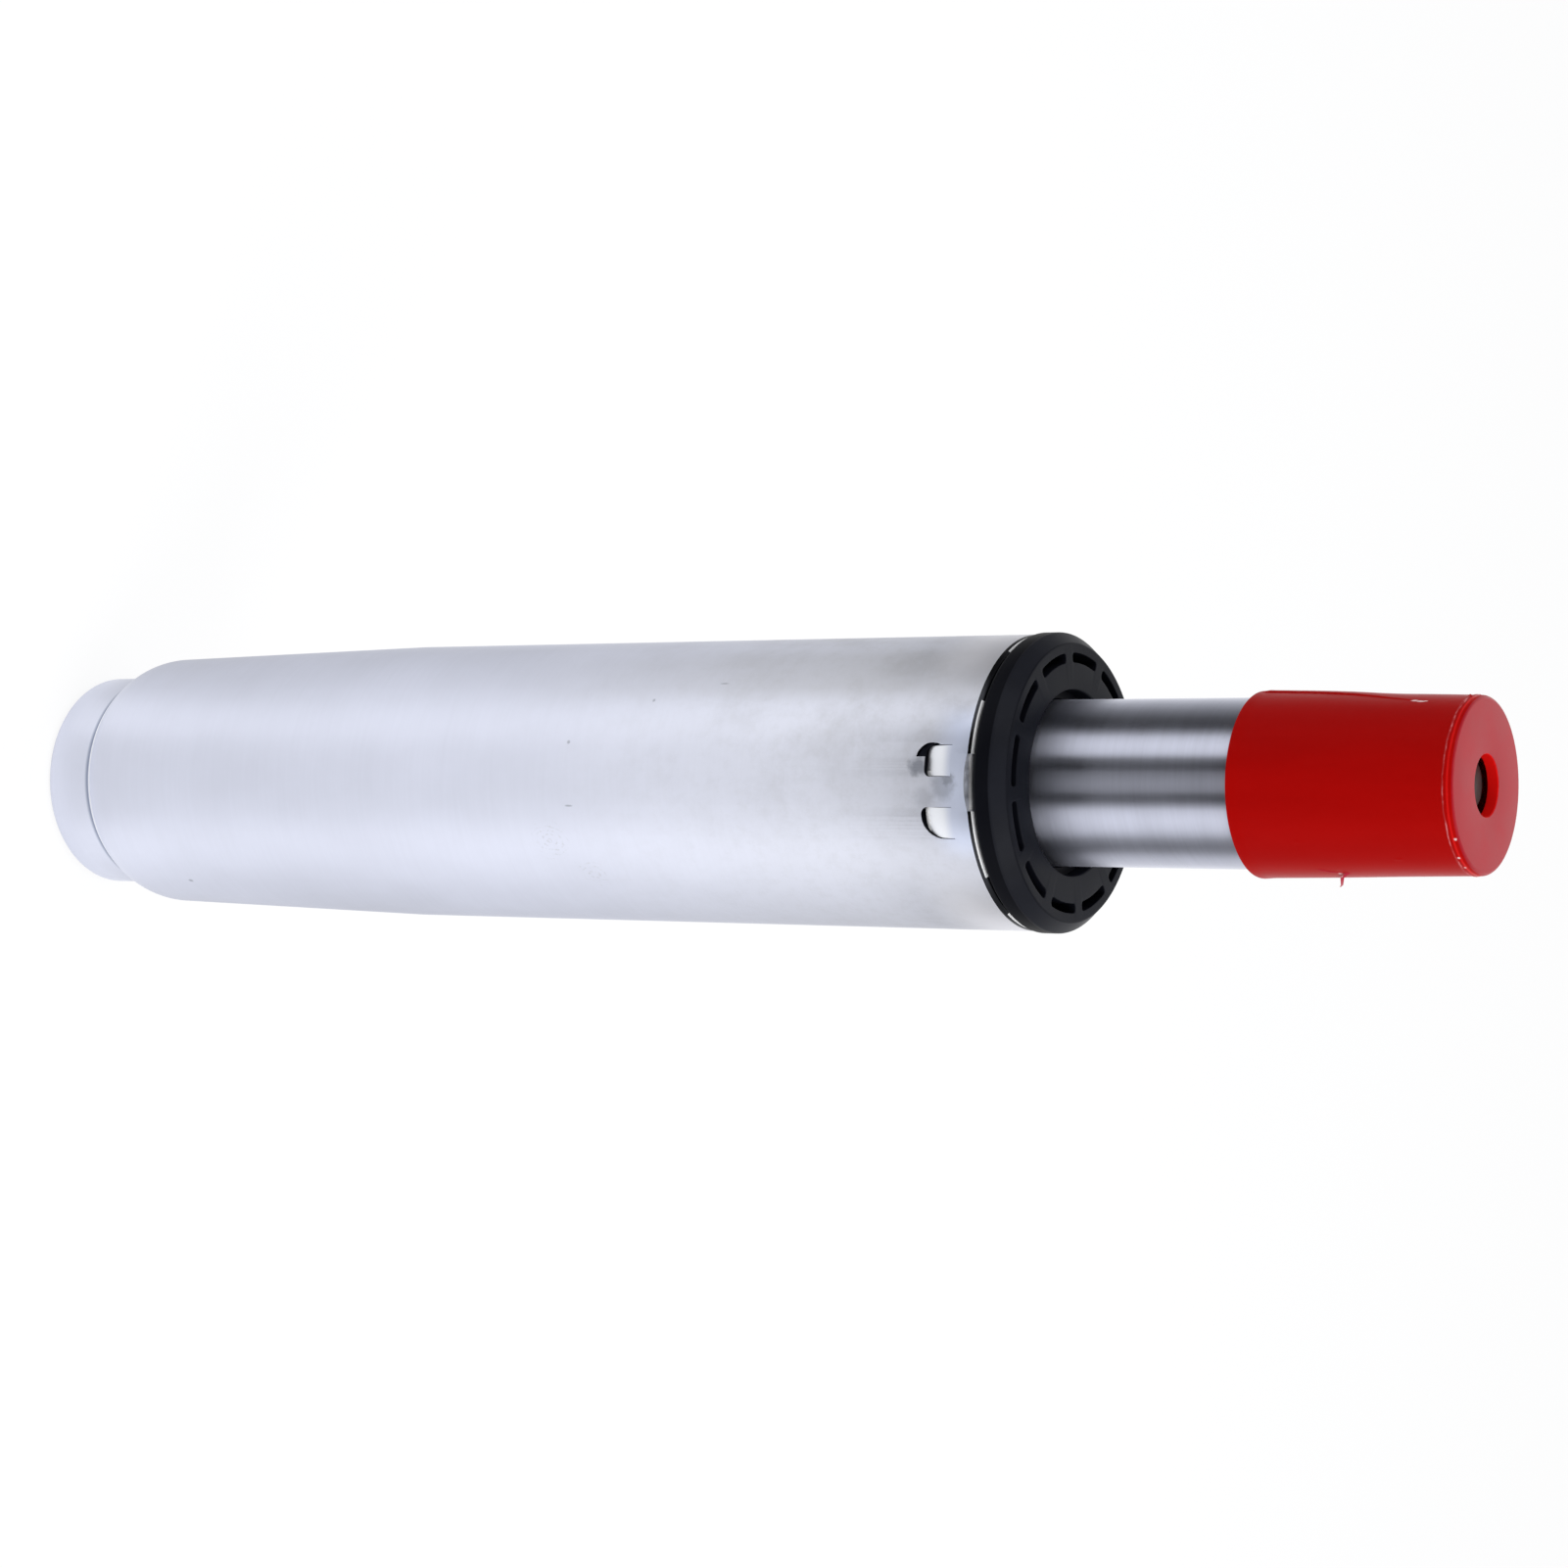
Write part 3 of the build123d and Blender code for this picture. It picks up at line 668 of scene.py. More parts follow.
# The flange's side is a darker copy, painted shade, and its bevel a lighter copy, a painted highlight.
flange_side_shade = moulded("flange_side_shade", (0.0042, 0.0046, 0.0075), 0.42, 0.04)
flange_bevel_highlight = moulded("flange_bevel_highlight", (0.0125, 0.0135, 0.0190), 0.40, 0.08)
flange_plastic = moulded("flange_plastic", (0.0072, 0.0080, 0.0118), 0.42, 0.055)
natural_plastic = moulded("natural_plastic", (0.62, 0.60, 0.52), 0.45, 0.4)
bumper_black = moulded("bumper_black", (0.016, 0.016, 0.017), 0.62, 0.3)
seal_black = moulded("seal_black", (0.010, 0.010, 0.010), 0.35, 0.5)
cap_red = red_plastic("cap_side", (0.43, 0.0018, 0.0012), gloss=0.055, rough=0.40, dots=0.5,
                      sheen=0.40, marks=True)
cap_end = red_plastic("cap_end", (0.34, 0.004, 0.014), gloss=0.29, rough=0.34, dots=0.2, sheen=0.05)
# A brighter red copy for the hole's wall, painted light against its shade.
cap_hole_lit = red_plastic("cap_hole_lit", (0.80, 0.006, 0.005), gloss=0.10, rough=0.45, dots=0.0, sheen=0.05)
flash_red = red_plastic("flash_red", (0.52, 0.03, 0.06), gloss=0.25, rough=0.34, dots=0.3, sheen=0.5,
                        marks=True)
# Pale material for the fringe, a painted highlight.
flash_pale_highlight = moulded("flash_pale_highlight", (0.86, 0.80, 0.80), 0.5, 0.3)
pin_steel = plain_metal("pin_steel", (0.055, 0.062, 0.060), 0.42, mottle=0.3, scale=500.0)

slot_materials = dict(
    satin_steel=satin, ground_steel=column_steel, hard_steel=hard, zinc_steel=zinc, spring_steel=spring,
    dark_steel=dark_oxide, aluminium_alloy=alloy, black_plastic=flange_plastic, red_plastic=cap_red,
    white_plastic=natural_plastic, bumper_rubber=bumper_black, seal_rubber=seal_black,
)
for part in frame["record"]["subparts"]:
    for held in frame["nodes"][part["node"]].material_slots:
        held.material = slot_materials[part["material_slot"]]


# Stand tube

# A tab: low and edge are its sheared edge's height and round, flare its window's round
Tab = namedtuple("Tab", "angle low width depth corners edge flare")
TABS = (
    Tab(angle=-8.3, low=199.15, width=5.3, depth=0.95, corners=(1.4, 1.0), edge=0.12, flare=0.08),
    Tab(angle=15.5, low=198.3, width=5.4, depth=0.9, corners=(1.3, 3.8), edge=0.95, flare=0.06),
)
TAB_BEND = 1.9
TAB_GAP = 0.03
TAB_SOFT = 0.15
TAB_TUCK = 0.9
TAB_SUNK = 0.012
TAB_INSETS = (0.03, 0.07, 0.12, 0.18, 0.26, 0.36, 0.5, 0.7, 0.95, 1.25, 1.6, 2.0, 2.4)
LEAST_CORNER = 0.05

# A tab gets a painted highlight all along an edge rounder than this, and otherwise only at its right
# corner
ROLLED_EDGE = 0.5
ROLLED_GLINT = 0.3
CORNER_GLINT_WIDTH = 1.0
CORNER_GLINT_HEIGHT = 1.3

# The torn corner beside the first window, as (side, height) round it, and its depth; its floor is painted
# shade
TEAR = (
    (-0.66, 197.5), (-0.66, 199.6), (-1.3, 199.6), (-2.0, 200.0), (-2.45, 200.6), (-2.5, 201.4),
    (-2.75, 201.8), (-2.95, 201.2), (-3.02, 200.5), (-3.0, 199.9), (-2.9, 199.35), (-2.65, 198.85),
    (-2.25, 198.35), (-1.75, 197.9), (-1.25, 197.65),
)
TEAR_DEPTH = 0.3
TEAR_FOOT = 197.0

# The rim's slanted flat
RIM_FACET = 1.5
FACET_HALF_WIDTH = 4.7
FACET_OVERRUN = 3.0

# Slopes from which the rim gets painted shade and a painted highlight, and angles where the painted
# highlight is left out
RIM_SHADED_SLOPE = 5.0
RIM_HIGHLIGHT_SLOPE = 36.0
RIM_UNLIT = ((-62.0, -33.0), (39.5, 62.0))

# How far a painted face may lie from its border, and how deep a cut face starts
PAINT_SLACK = 0.05
SHEARED_DEPTH = 0.06

# Places of the stand tube's materials
SATIN, TAB_FACE, TAB_EDGE_HIGHLIGHT, CUT_SHADE, RIM_SHADE, RIM_HIGHLIGHT, FACET_STEEL = range(7)


def stand_outline():
    top_radius = stand_radius(SHOULDER_HEIGHT)
    neck_radius = top_radius - NECK_STEP
    lean = radians(CONE_HALF_ANGLE)
    centre = (top_radius - SHOULDER_RADIUS * cos(lean), SHOULDER_HEIGHT + SHOULDER_RADIUS * sin(lean))

    def shoulder(inset):
        reach = neck_radius - inset - centre[0]
        crease = -degrees(acos(reach / (SHOULDER_RADIUS - inset)))
        return arc(centre, SHOULDER_RADIUS - inset, crease, -CONE_HALF_ANGLE, 28)

    outer = shoulder(0.0)
    inner = shoulder(STAND_WALL)
    bore = STAND_RADIUS - STAND_WALL
    return rounded([
        (neck_radius, 0.0, NECK_ROUND), (*outer[0], CREASE_ROUND), *outer[2:],
        (STAND_RADIUS, BASE_TAPER_START), (STAND_RADIUS, RIM_HEIGHT, RIM_ROUND),
        (bore, RIM_HEIGHT, EDGE_ROUND), (bore, BASE_TAPER_START), *inner[::-1],
        (neck_radius - STAND_WALL, 0.0, EDGE_ROUND),
    ], 8)


def tab_loop(tab, offset, head=TAB_HINGE, steps=8, along=6):
    """A tab seen square on as (side, height) points, grown by an offset."""
    left, right = (max(LEAST_CORNER, corner + offset) for corner in tab.corners)
    half = tab.width / 2 + offset
    foot = tab.low - offset
    loop = run((-half, head), (half, head), along)
    loop += run((half, head), (half, foot + right), along)
    loop += arc((half - right, foot + right), right, 0.0, -90.0, steps)
    loop += run((half - right, foot), (left - half, foot), along)[1:]
    loop += arc((left - half, foot + left), left, -90.0, -180.0, steps)
    loop += run((-half, foot + left), (-half, head), along)[1:]
    return loop


def on_wall(angle, side, height, depth):
    """A point at a depth under the stand tube's skin, beside a tab's middle line."""
    turn = radians(angle)
    reach = sqrt(STAND_RADIUS ** 2 - side ** 2) - depth
    return Vector((
        (reach * sin(turn) + side * cos(turn)) * MM,
        (side * sin(turn) - reach * cos(turn)) * MM,
        height * MM,
    ))


def cut_windows(tube):
    for tab in TABS:
        layers = [(-OVERRUN, tab.flare), *edge_layers(tab.flare, 6), (STAND_WALL + OVERRUN, 0.0)]
        carve(tube, [[on_wall(tab.angle, side, z, sink) for side, z in tab_loop(tab, grow)]
                     for sink, grow in layers])
    carve(tube, [[on_wall(TABS[0].angle, side, z, sink) for side, z in TEAR]
                 for sink in (-OVERRUN / 2, TEAR_DEPTH)])


def cut_facet(tube):
    front = -STAND_RADIUS - FACET_OVERRUN
    top = RIM_HEIGHT + FACET_OVERRUN
    triangle = ((front, RIM_HEIGHT - RIM_FACET - FACET_OVERRUN),
                (-STAND_RADIUS + RIM_FACET + FACET_OVERRUN, top), (front, top))
    carve(tube, [[Vector((side, y, z)) * MM for y, z in triangle]
                 for side in (-FACET_HALF_WIDTH, FACET_HALF_WIDTH)])


def tongue(tab):
    """The tab itself, wall bent in about its hinge line."""
    foot = tab.low + TAB_GAP

    def bend(z):
        share = min(1.0, max(0.0, (TAB_HINGE - z) / (TAB_HINGE - tab.low)))
        return TAB_SUNK + tab.depth * share ** TAB_BEND

    def fall(distance, radius):
        """How far a rounded edge has fallen at a distance from its border."""
        if distance >= radius:
            return 0.0
        return radius - sqrt(max(0.0, radius ** 2 - (radius - distance) ** 2))

    def sink(side, z):
        at_foot = fall(z - foot, tab.edge)
        at_side = fall(tab.width / 2 - TAB_GAP - abs(side), TAB_SOFT)
        return bend(z) + max(at_foot, at_side)

    def back(side, z, depth):
        """Depth of the tab's border, never above its own round."""
        return bend(z) + max(depth, sink(side, z) - sink(0.0, max(z, foot + tab.edge)))

    bm = bmesh.new()
    border = tab_loop(tab, -TAB_GAP, TAB_HINGE + TAB_TUCK)
    loops = [[on_wall(tab.angle, side, z, back(side, z, depth)) for side, z in border]
             for depth in (STAND_WALL, STAND_WALL / 2, 0.0)]
    for inset in TAB_INSETS:
        loop = tab_loop(tab, -TAB_GAP - inset, TAB_HINGE + TAB_TUCK - inset)
        loops.append([on_wall(tab.angle, side, z, sink(side, z)) for side, z in loop])
    stack(bm, loops)
    face_outwards(bm)
    for face in bm.faces:
        centre = face.calc_center_median() / MM
        side = radians(angle_of(centre) - tab.angle) * STAND_RADIUS
        # Painted highlight: a white rolled edge, or a glint at the right corner of a sharper tab.
        if tab.edge > ROLLED_EDGE:
            bright = centre.z < foot + tab.edge + ROLLED_GLINT
        else:
            bright = side > tab.width / 2 - CORNER_GLINT_WIDTH and centre.z < tab.low + CORNER_GLINT_HEIGHT
        face.material_index = TAB_EDGE_HIGHLIGHT if bright else TAB_FACE
    return new_mesh("tongue", bm)


def paint_stand(mesh):
    facet_normal = Vector((0.0, -1.0, 1.0)).normalized()
    highlight_from = sin(radians(RIM_HIGHLIGHT_SLOPE))
    shaded_from = sin(radians(RIM_SHADED_SLOPE))
    for face in mesh.polygons:
        centre = face.center / MM
        outward = Vector((centre.x, centre.y, 0.0)).normalized()
        on_facet = face.normal.dot(facet_normal) > 0.9995
        depth = STAND_RADIUS - hypot(centre.x, centre.y)
        if on_facet and centre.z > RIM_HEIGHT - RIM_FACET - PAINT_SLACK:
            face.material_index = FACET_STEEL
        # The rim's round: a painted highlight on its upper faces, except at the unlit angles, and painted
        # shade below it.
        elif centre.z > RIM_HEIGHT - RIM_ROUND - PAINT_SLACK and depth < RIM_ROUND + PAINT_SLACK:
            unlit = any(start < angle_of(centre) < end for start, end in RIM_UNLIT)
            if face.normal.z > highlight_from and not unlit:
                face.material_index = RIM_HIGHLIGHT
            elif face.normal.z > shaded_from:
                face.material_index = RIM_SHADE
        # Painted shade on the cut faces of the windows and the floor of the torn corner.
        elif TEAR_FOOT < centre.z < TAB_HINGE + TEAR_DEPTH and depth < STAND_WALL - PAINT_SLACK:
            sheared = depth > SHEARED_DEPTH and face.normal.dot(outward) < 0.6
            if sheared or depth > TEAR_DEPTH - PAINT_SLACK:
                face.material_index = CUT_SHADE


def make_stand():
    tube = revolved("stand_tube", stand_outline(), turns(coarse=1.5, fine=0.6, start=-27.0, end=33.0))
    cut_windows(tube)
    cut_facet(tube)
    paint_stand(tube.data)
    joined = bmesh.new()
    joined.from_mesh(tube.data)
    for tab in TABS:
        mesh = tongue(tab)
        joined.from_mesh(mesh)
        bpy.data.meshes.remove(mesh)
    joined.to_mesh(tube.data)
    joined.free()
    dress(tube, "stand", ["outer_tube"],
          [satin, tab_face_highlight, tab_edge_highlight, cut_shade, rim_shade, rim_highlight, facet_steel])


# Guide bushing

SLIDE_FIT = 0.08
SLEEVE_FIT = 0.05
BUSHING_BORE = TUBE_RADIUS + SLIDE_FIT
SLEEVE_RADIUS = STAND_RADIUS - STAND_WALL - SLEEVE_FIT
WIPER_WIDTH = 1.55
WIPER_DEPTH = 3.0
FLANGE_SIDE = 4.1
SIDE_TOP = STAND_HEIGHT + FLANGE_SIDE
FLANGE_CHAMFER = 0.7
BEVEL_WIDTH = 1.9

# The groove that the tabs lock into
LOCK_DEPTH = 1.5
LOCK_LENGTH = 4.7
LOCK_PLAY = 0.3

# The ring of arc slots in the flange
SLOT_COUNT = 12
SLOT_MARGIN = 1.55
SLOT_WIDTH = 1.65
SLOT_MEAN = FLANGE_RADIUS - BEVEL_WIDTH - SLOT_MARGIN - SLOT_WIDTH / 2
SLOT_DEPTH = 6.0
SLOT_LAND = 2.45
SLOT_PHASE = 5.0
SLOT_END = 0.6
SLOT_EDGE = 0.14
SLOT_DRAFT = 0.12

# The pockets between the sleeve's ribs, open at the foot
CORE_COUNT = 12
CORE_SKIN = 2.05
CORE_LINING = 2.5
CORE_HALF_RIB = 1.5
CORE_ROOF = 20.0


def bushing_outline():
    wiper = BUSHING_BORE + WIPER_WIDTH
    groove = STAND_RADIUS - STAND_WALL - LOCK_DEPTH - LOCK_PLAY
    lock_low = TAB_HINGE - LOCK_LENGTH - LOCK_PLAY
    lock_high = TAB_HINGE + LOCK_PLAY
    return rounded([
        (BUSHING_BORE, BUSHING_FOOT, 0.3), (SLEEVE_RADIUS, BUSHING_FOOT, 0.3),
        (SLEEVE_RADIUS, lock_low), (groove, lock_low), (groove, lock_high), (SLEEVE_RADIUS, lock_high),
        (SLEEVE_RADIUS, RIM_HEIGHT), (FLANGE_RADIUS - FLANGE_CHAMFER, RIM_HEIGHT, 0.2),
        (FLANGE_RADIUS, RIM_HEIGHT + FLANGE_CHAMFER, 0.5), (FLANGE_RADIUS, SIDE_TOP, 0.8),
        (FLANGE_RADIUS - BEVEL_WIDTH, FLANGE_TOP, 0.5), (wiper, FLANGE_TOP, 0.35),
        (wiper, FLANGE_TOP - WIPER_DEPTH, 0.2), (BUSHING_BORE, FLANGE_TOP - WIPER_DEPTH, 0.25),
    ], 6)


def slot_loop(middle, half_angle, offset, steps=5, along=10):
    """An arc slot as (angle, radius) points, grown by an offset."""
    half_length = radians(half_angle) * SLOT_MEAN + offset
    half_width = SLOT_WIDTH / 2 + offset
    corner = SLOT_END + offset
    flat = []
    for x, y, start in ((1, 1, 90.0), (1, -1, 0.0), (-1, -1, -90.0), (-1, 1, 180.0)):
        centre = (x * (half_length - corner), y * (half_width - corner))
        flat += arc(centre, corner, start, start - 90.0, steps)
    loop = []
    for here, following in zip(flat, flat[1:] + flat[:1]):
        on_long_side = abs(following[0] - here[0]) > SLOT_END
        loop += run(here, following, along if on_long_side else 1)
    return [(middle + degrees(x / SLOT_MEAN), SLOT_MEAN + y) for x, y in loop]


def cut_slots(bushing):
    pitch = 360 / SLOT_COUNT
    half_angle = pitch / 2 - degrees(SLOT_LAND / 2 / SLOT_MEAN)
    layers = [(-OVERRUN, SLOT_EDGE), *edge_layers(SLOT_EDGE, 5), (SLOT_DEPTH, -SLOT_DRAFT)]
    slots = []
    for index in range(SLOT_COUNT):
        middle = SLOT_PHASE + pitch * (index + 0.5)
        slots.append([[place(angle, radius, FLANGE_TOP - sink)
                       for angle, radius in slot_loop(middle, half_angle, grow)] for sink, grow in layers])
    carve(bushing, *slots)


def cut_cores(bushing):
    pitch = 360 / CORE_COUNT
    cores = []
    for index in range(CORE_COUNT):
        middle = pitch * (index + 0.5)
        loop = []
        for radius, sign in ((SLEEVE_RADIUS - CORE_SKIN, 1), (BUSHING_BORE + CORE_LINING, -1)):
            reach = sign * (pitch / 2 - degrees(asin(CORE_HALF_RIB / radius)))
            loop += [(middle + reach * (step / 6 - 1), radius) for step in range(13)]
        cores.append([[place(angle, radius, z) for angle, radius in loop]
                      for z in (BUSHING_FOOT - OVERRUN, FLANGE_TOP - CORE_ROOF)])
    carve(bushing, *cores)


def make_bushing():
    bushing = revolved("bushing", bushing_outline(), turns(1.0))
    cut_slots(bushing)
    cut_cores(bushing)
    for face in bushing.data.polygons:
        centre = face.center / MM
        # Painted shade on the flange's side and a painted highlight on its bevel.
        if centre.z < SIDE_TOP - 0.4:
            face.material_index = 1
        elif centre.z < FLANGE_TOP - 0.2 and centre.xy.length > FLANGE_RADIUS - BEVEL_WIDTH - 0.3:
            face.material_index = 2
    dress(bushing, "stand", ["guide_bushing"],
          [flange_plastic, flange_side_shade, flange_bevel_highlight])


# Pressure tube, valve and pin

COLUMN_WALL = 1.5
FOOT_LIP = 4.0
TOP_LIP = 1.7
PIN_BORE = 4.08
STEM_BORE = 2.08
VALVE_LEDGE = 260.7
SEAL_GROOVE = 1.4
SEAL_PLAY = 0.05
PIN_RISE = 0.15


def make_column():
    top = seat_radius(TUBE_TOP)
    bore = TUBE_RADIUS - COLUMN_WALL
    turned_piece("pressure_column", rounded([
        (bore - FOOT_LIP, TUBE_FOOT, 0.3), (TUBE_RADIUS, TUBE_FOOT, 1.3), (TUBE_RADIUS, SEAT_FOOT),
        (top, TUBE_TOP, 1.2), (top - COLUMN_WALL - TOP_LIP, TUBE_TOP, 0.2),
        (top - COLUMN_WALL - TOP_LIP, TUBE_TOP - COLUMN_WALL),
        (top - COLUMN_WALL, TUBE_TOP - COLUMN_WALL), (bore, SEAT_FOOT), (bore, TUBE_FOOT + COLUMN_WALL),
        (bore - FOOT_LIP, TUBE_FOOT + COLUMN_WALL, 0.2),
    ], 8), 1.25, "spring_tube", "pressure_tube", column_steel)


def make_valve():
    radius = valve_high.x
    groove_low = seal_low.z - SEAL_PLAY
    groove_high = seal_high.z + SEAL_PLAY
    turned_piece("valve_head", rounded([
        (STEM_BORE, valve_low.z), (radius, valve_low.z, 0.25), (radius, groove_low, 0.1),
        (radius - SEAL_GROOVE, groove_low), (radius - SEAL_GROOVE, groove_high),
        (radius, groove_high, 0.1), (radius, valve_high.z, 0.3), (PIN_BORE, valve_high.z, 0.3),
        (PIN_BORE, VALVE_LEDGE), (STEM_BORE, VALVE_LEDGE),
    ], 5), 2.5, "spring_tube", "valve_body", alloy)


def make_pin():
    radius = pin_high.x
    top = pin_high.z + PIN_RISE
    outline = rounded([(0.0, pin_low.z), (radius, pin_low.z, 0.3), (radius, top, 0.5), (0.0, top)])
    turned_piece("pin", outline, 3.0, "release", "release_pin", pin_steel, closed=False)


# Lower bearing and rod end, seen through the neck

DISC_BORE = 4.08
WASHER_BORE = 4.05
ROD_END = 4.0
CLIP_GROOVE = 0.8
CLIP_PLAY = 0.05
PISTON_SPIGOT = 3.5
BALL_COUNT = 8


def make_ring(name, node, bore, edge, body, material):
    """A flat ring as wide and high as its node."""
    low, high = extent(node)
    outline = rounded([
        (bore, low.z, edge), (high.x, low.z, edge), (high.x, high.z, edge), (bore, high.z, edge)
    ], 4)
    turned_piece(name, outline, 2.0, body, node, material)


def make_rod():
    groove_low = clip_low.z - CLIP_PLAY
    shelf = extent("rubber_bumper")[0].z
    piston_foot = extent("piston")[0].z
    turned_piece("rod", rounded([
        (0.0, rod_low.z), (ROD_END, rod_low.z, 0.6), (ROD_END, groove_low),
        (ROD_END - CLIP_GROOVE, groove_low), (ROD_END - CLIP_GROOVE, clip_high.z),
        (ROD_END, clip_high.z), (ROD_END, shelf), (rod_high.x, shelf, 0.3),
        (rod_high.x, piston_foot, 0.2), (PISTON_SPIGOT, piston_foot), (PISTON_SPIGOT, rod_high.z, 0.4),
        (0.0, rod_high.z),
    ], 5), 3.0, "rod", "piston_rod", hard, closed=False)


def make_balls():
    radius = (balls_high.z - balls_low.z) / 2
    pitch = balls_high.x - radius
    height = (balls_high.z + balls_low.z) / 2
    bm = bmesh.new()
    for index in range(BALL_COUNT):
        seat = place(90 + 360 / BALL_COUNT * index, pitch, height)
        bmesh.ops.create_icosphere(bm, subdivisions=4, radius=radius * MM, matrix=Matrix.Translation(seat))
    dress(new_object("balls", bm), "cage", ["bearing_balls"], [hard])


# Protective cap

CAP_HOLE = 5.0
CAP_END = 1.9

# Heights below the cap's top between which the bead lies
BEAD_ZONE = (2.2, 0.9)
BEAD_HEIGHT = 0.11
BEAD_DROP = 1.55
BEAD_WIDTH = 0.15

# The lap's line as (height, angle), how proud it stands, and where it fades, ends and starts
SEAM = ((249.0, -81.0), (258.0, -80.0), (266.0, -76.5), (271.5, -71.5), (277.0, -67.0), (281.0, -63.0))
LAP_HEIGHT = 0.22
LAP_LEAST = 0.04
LAP_FADE = (262.0, 281.0)
LAP_END = (277.0, 281.0)
LAP_START = (CAP_FOOT + 0.7, CAP_FOOT + 1.2)

# Other small faults: a lip at the foot, slow waves, and pimples as (angle, height, size)
LIP_HEIGHT = 0.10
LIP_WIDTH = 1.2
WAVE_HEIGHT = 0.05
PIMPLES = ((-77.8, 285.2, 0.3), (53.1, 275.8, 0.12), (37.5, 259.8, 0.10), (-11.5, 267.0, 0.10))


def lap(turn, r, z):
    """Height of the lap, steep on one side of its line and flat on the other."""
    side = radians(turn - look_up(SEAM, z)) * r
    across = (1 - step_up(side, -0.06, 0.10)) * (1 - step_up(-side, 1.0, 5.0))
    height = LAP_HEIGHT * (1 - step_up(z, *LAP_FADE)) + LAP_LEAST
    return height * across * (1 - step_up(z, *LAP_END)) * step_up(z, *LAP_START)


def cap_shape(angle, r, z):
    """Small faults of the moulding."""
    if r < cap_bore(z) + 0.55 * CAP_WALL or z > CAP_TOP - BEAD_ZONE[1]:
        return r, z
    turn = (angle + 180) % 360 - 180
    wobble = noise.noise(Vector((turn * 0.9, z * 2.0, 0.0)))
    wave = noise.noise(Vector((radians(turn) * 2.2, z * 0.09, 4.0)))
    grow = lap(turn, r, z)
    grow += LIP_HEIGHT * bump(z - CAP_FOOT, LIP_WIDTH)
    grow += (BEAD_HEIGHT + 0.05 * wobble) * bump(z - (CAP_TOP - BEAD_DROP + 0.06 * wobble), BEAD_WIDTH)
    grow += WAVE_HEIGHT * wave
    for pimple_angle, height, size in PIMPLES:
        away = hypot(radians(turn - pimple_angle) * r, z - height)
        grow += size * bump(away, 0.16 + size / 2)
    return r + grow, z


def make_cap():
    inner_top = CAP_TOP - CAP_END
    bead_low, bead_high = (CAP_TOP - drop for drop in BEAD_ZONE)
    outline = rounded([
        (cap_bore(CAP_FOOT), CAP_FOOT, 0.1), (cap_bore(CAP_FOOT) + CAP_WALL, CAP_FOOT, 0.15),
        (cap_bore(CAP_TOP) + CAP_WALL, CAP_TOP, 0.75), (CAP_HOLE, CAP_TOP, 0.22),
        (CAP_HOLE, inner_top, 0.1), (cap_bore(inner_top), inner_top, 0.4),
    ], 7)
    outline = divided(outline, CAP_FOOT + 0.3, bead_low, 0.6)
    outline = divided(outline, bead_low, bead_high, 0.12)
    angles = turns(coarse=1.2, fine=0.5, start=-95.0, end=-55.0)
    cap = revolved("cap", outline, angles, CAP_OFFSET, cap_shape)
    for face in cap.data.polygons:
        centre = face.center / MM
        # Painted light on the wall of the hole.
        if hypot(centre.x - CAP_OFFSET, centre.y) < CAP_HOLE + 0.1:
            face.material_index = 2
        elif centre.z > CAP_TOP - 0.3:
            face.material_index = 1
    dress(cap, "cap", ["protective_cap"], [cap_red, cap_end, cap_hole_lit])


# Moulding flash: a torn sliver as (angle, lift, height), a ridge beside it as (angle, height),
# and a fringe at the foot, painted pale as a highlight by the cap's open edge
SLIVER = (
    (71.0, -0.1, 265.6), (72.0, 0.25, 265.0), (73.5, 0.6, 264.3), (78.0, 0.95, 263.8), (83.0, 1.3, 263.2),
    (87.0, 1.5, 262.4),
)
SLIVER_WIDTH = 0.42
SLIVER_THICKNESS = 0.16
SLIVER_LEAST = 0.03
RIDGE = ((64.5, 261.0), (66.5, 262.0), (68.5, 263.2), (70.0, 264.2), (71.5, 265.2))
FRINGE_START = -48.0
FRINGE_STEP = 2.6
FRINGE_COUNT = 43
FRINGE_ROOT = 0.05
UPWARD = Vector((0.0, 0.0, 1.0))


def oval(angle, lift, height, width, second, count):
    """Points round an oval by the cap's side, from its two half axes."""
    centre = place(angle, cap_bore(height) + CAP_WALL + lift, height, CAP_OFFSET)
    spokes = [radians(360 / count * step) for step in range(count)]
    return [centre + (width * cos(turn) + second * sin(turn)) * MM for turn in spokes]


def sliver_loops():
    loops = []
    for index, (angle, lift, height) in enumerate(SLIVER):
        left = 1 - index / len(SLIVER)
        wide = SLIVER_WIDTH * left ** 0.8 + SLIVER_LEAST
        thick = SLIVER_THICKNESS * left + SLIVER_LEAST
        side = place(angle, 1.0, 0.0).normalized().cross(UPWARD)
        loops.append(oval(angle, lift, height, UPWARD * wide, side * thick, 8))
    return loops


def ridge_loops():
    loops = []
    for index, (angle, height) in enumerate(RIDGE):
        size = 0.10 + 0.05 * sin(index * 1.3)
        out = place(angle, 1.0, 0.0).normalized()
        loops.append(oval(angle, 0.0, height, out * size, UPWARD * 1.2 * size, 6))
    return loops


